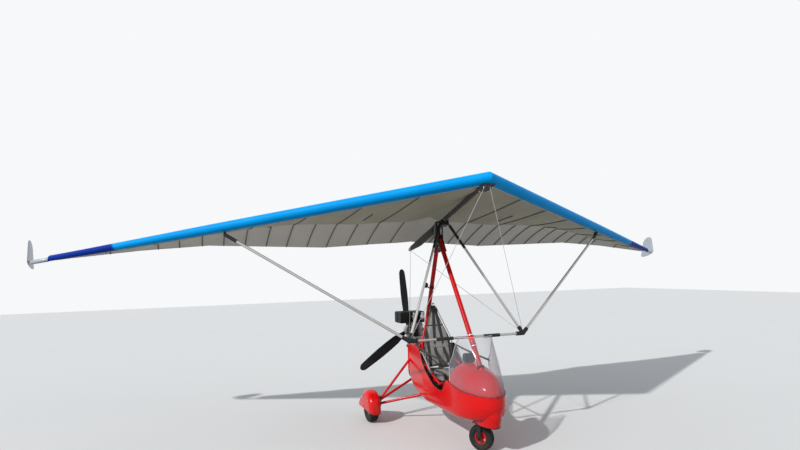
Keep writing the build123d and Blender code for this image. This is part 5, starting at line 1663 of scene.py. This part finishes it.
def seenRays(tree):  # 1 for camera, glossy and transmission rays
    rays = Flow(tree).node("ShaderNodeLightPath").socket.node.outputs
    camera, glossy, passed = (Flow(tree, rays["Is " + kind + " Ray"])
                              for kind in ("Camera", "Glossy", "Transmission"))
    return camera.maths("MAXIMUM", glossy).maths("MAXIMUM", passed)


# a floor and a sky that are pale to the camera and light the aircraft less
stage = {"floorHalf": 30, "floorPale": (0.80, 0.80, 0.79), "floorShade": (0.77, 0.77, 0.76),
         "floorLit": (0.30, 0.30, 0.28, 1), "skyPale": (0.93, 0.94, 0.95, 1), "skyLit": (0.86, 0.92, 1.0, 1),
         "skyStrength": 0.42, "lights": [("sun", 2.6, 1.5, (0.90, 0.44, -0.75)),
                                         ("fill", 0.25, 30.0, (-0.7, 0.6, -0.3))]}


def makeStage():
    far = stage["floorHalf"]
    material, where, shader = newFinish("floorPale", stage["floorPale"], 0.9)
    clouds = where.noise(0.6, 3.0).colours(stage["floorPale"], stage["floorShade"])
    feed(seenRays(material.node_tree).over(stage["floorLit"], clouds), shader, "Base Color")
    addPiece("floor", [(-far, -far, 0), (far, -far, 0), (far, far, 0), (-far, far, 0)], [(0, 1, 2, 3)],
                      material, None)
    world = bpy.data.worlds.new("paleRoom")
    bpy.context.scene.world = world
    world.use_nodes = True
    tree = world.node_tree
    tree.nodes.clear()
    seen = seenRays(tree)
    lit = Flow(tree).node("ShaderNodeBackground", {}, {"Color": stage["skyLit"],
                                                       "Strength": stage["skyStrength"]})
    plain = Flow(tree).node("ShaderNodeBackground", {}, {"Color": stage["skyPale"], "Strength": 1.0})
    blend = Flow(tree).node("ShaderNodeMixShader", {}, {0: seen, 1: lit, 2: plain})
    end = tree.nodes.new("ShaderNodeOutputWorld")
    tree.links.new(blend.socket, end.inputs["Surface"])
    for name, energy, angle, direction in stage["lights"]:
        data = bpy.data.lights.new(name, "SUN")
        data.energy, data.angle = energy, math.radians(angle)
        lamp = bpy.data.objects.new(name, data)
        bpy.context.scene.collection.objects.link(lamp)
        lamp.rotation_euler = Vector(direction).to_track_quat("-Z", "Y").to_euler()
    bpy.context.scene.view_settings.view_transform = "Standard"


for shape in patterns.values():  # the patterns aren't part of the aircraft
    bpy.data.objects.remove(shape)

makeStage()
print("stage")
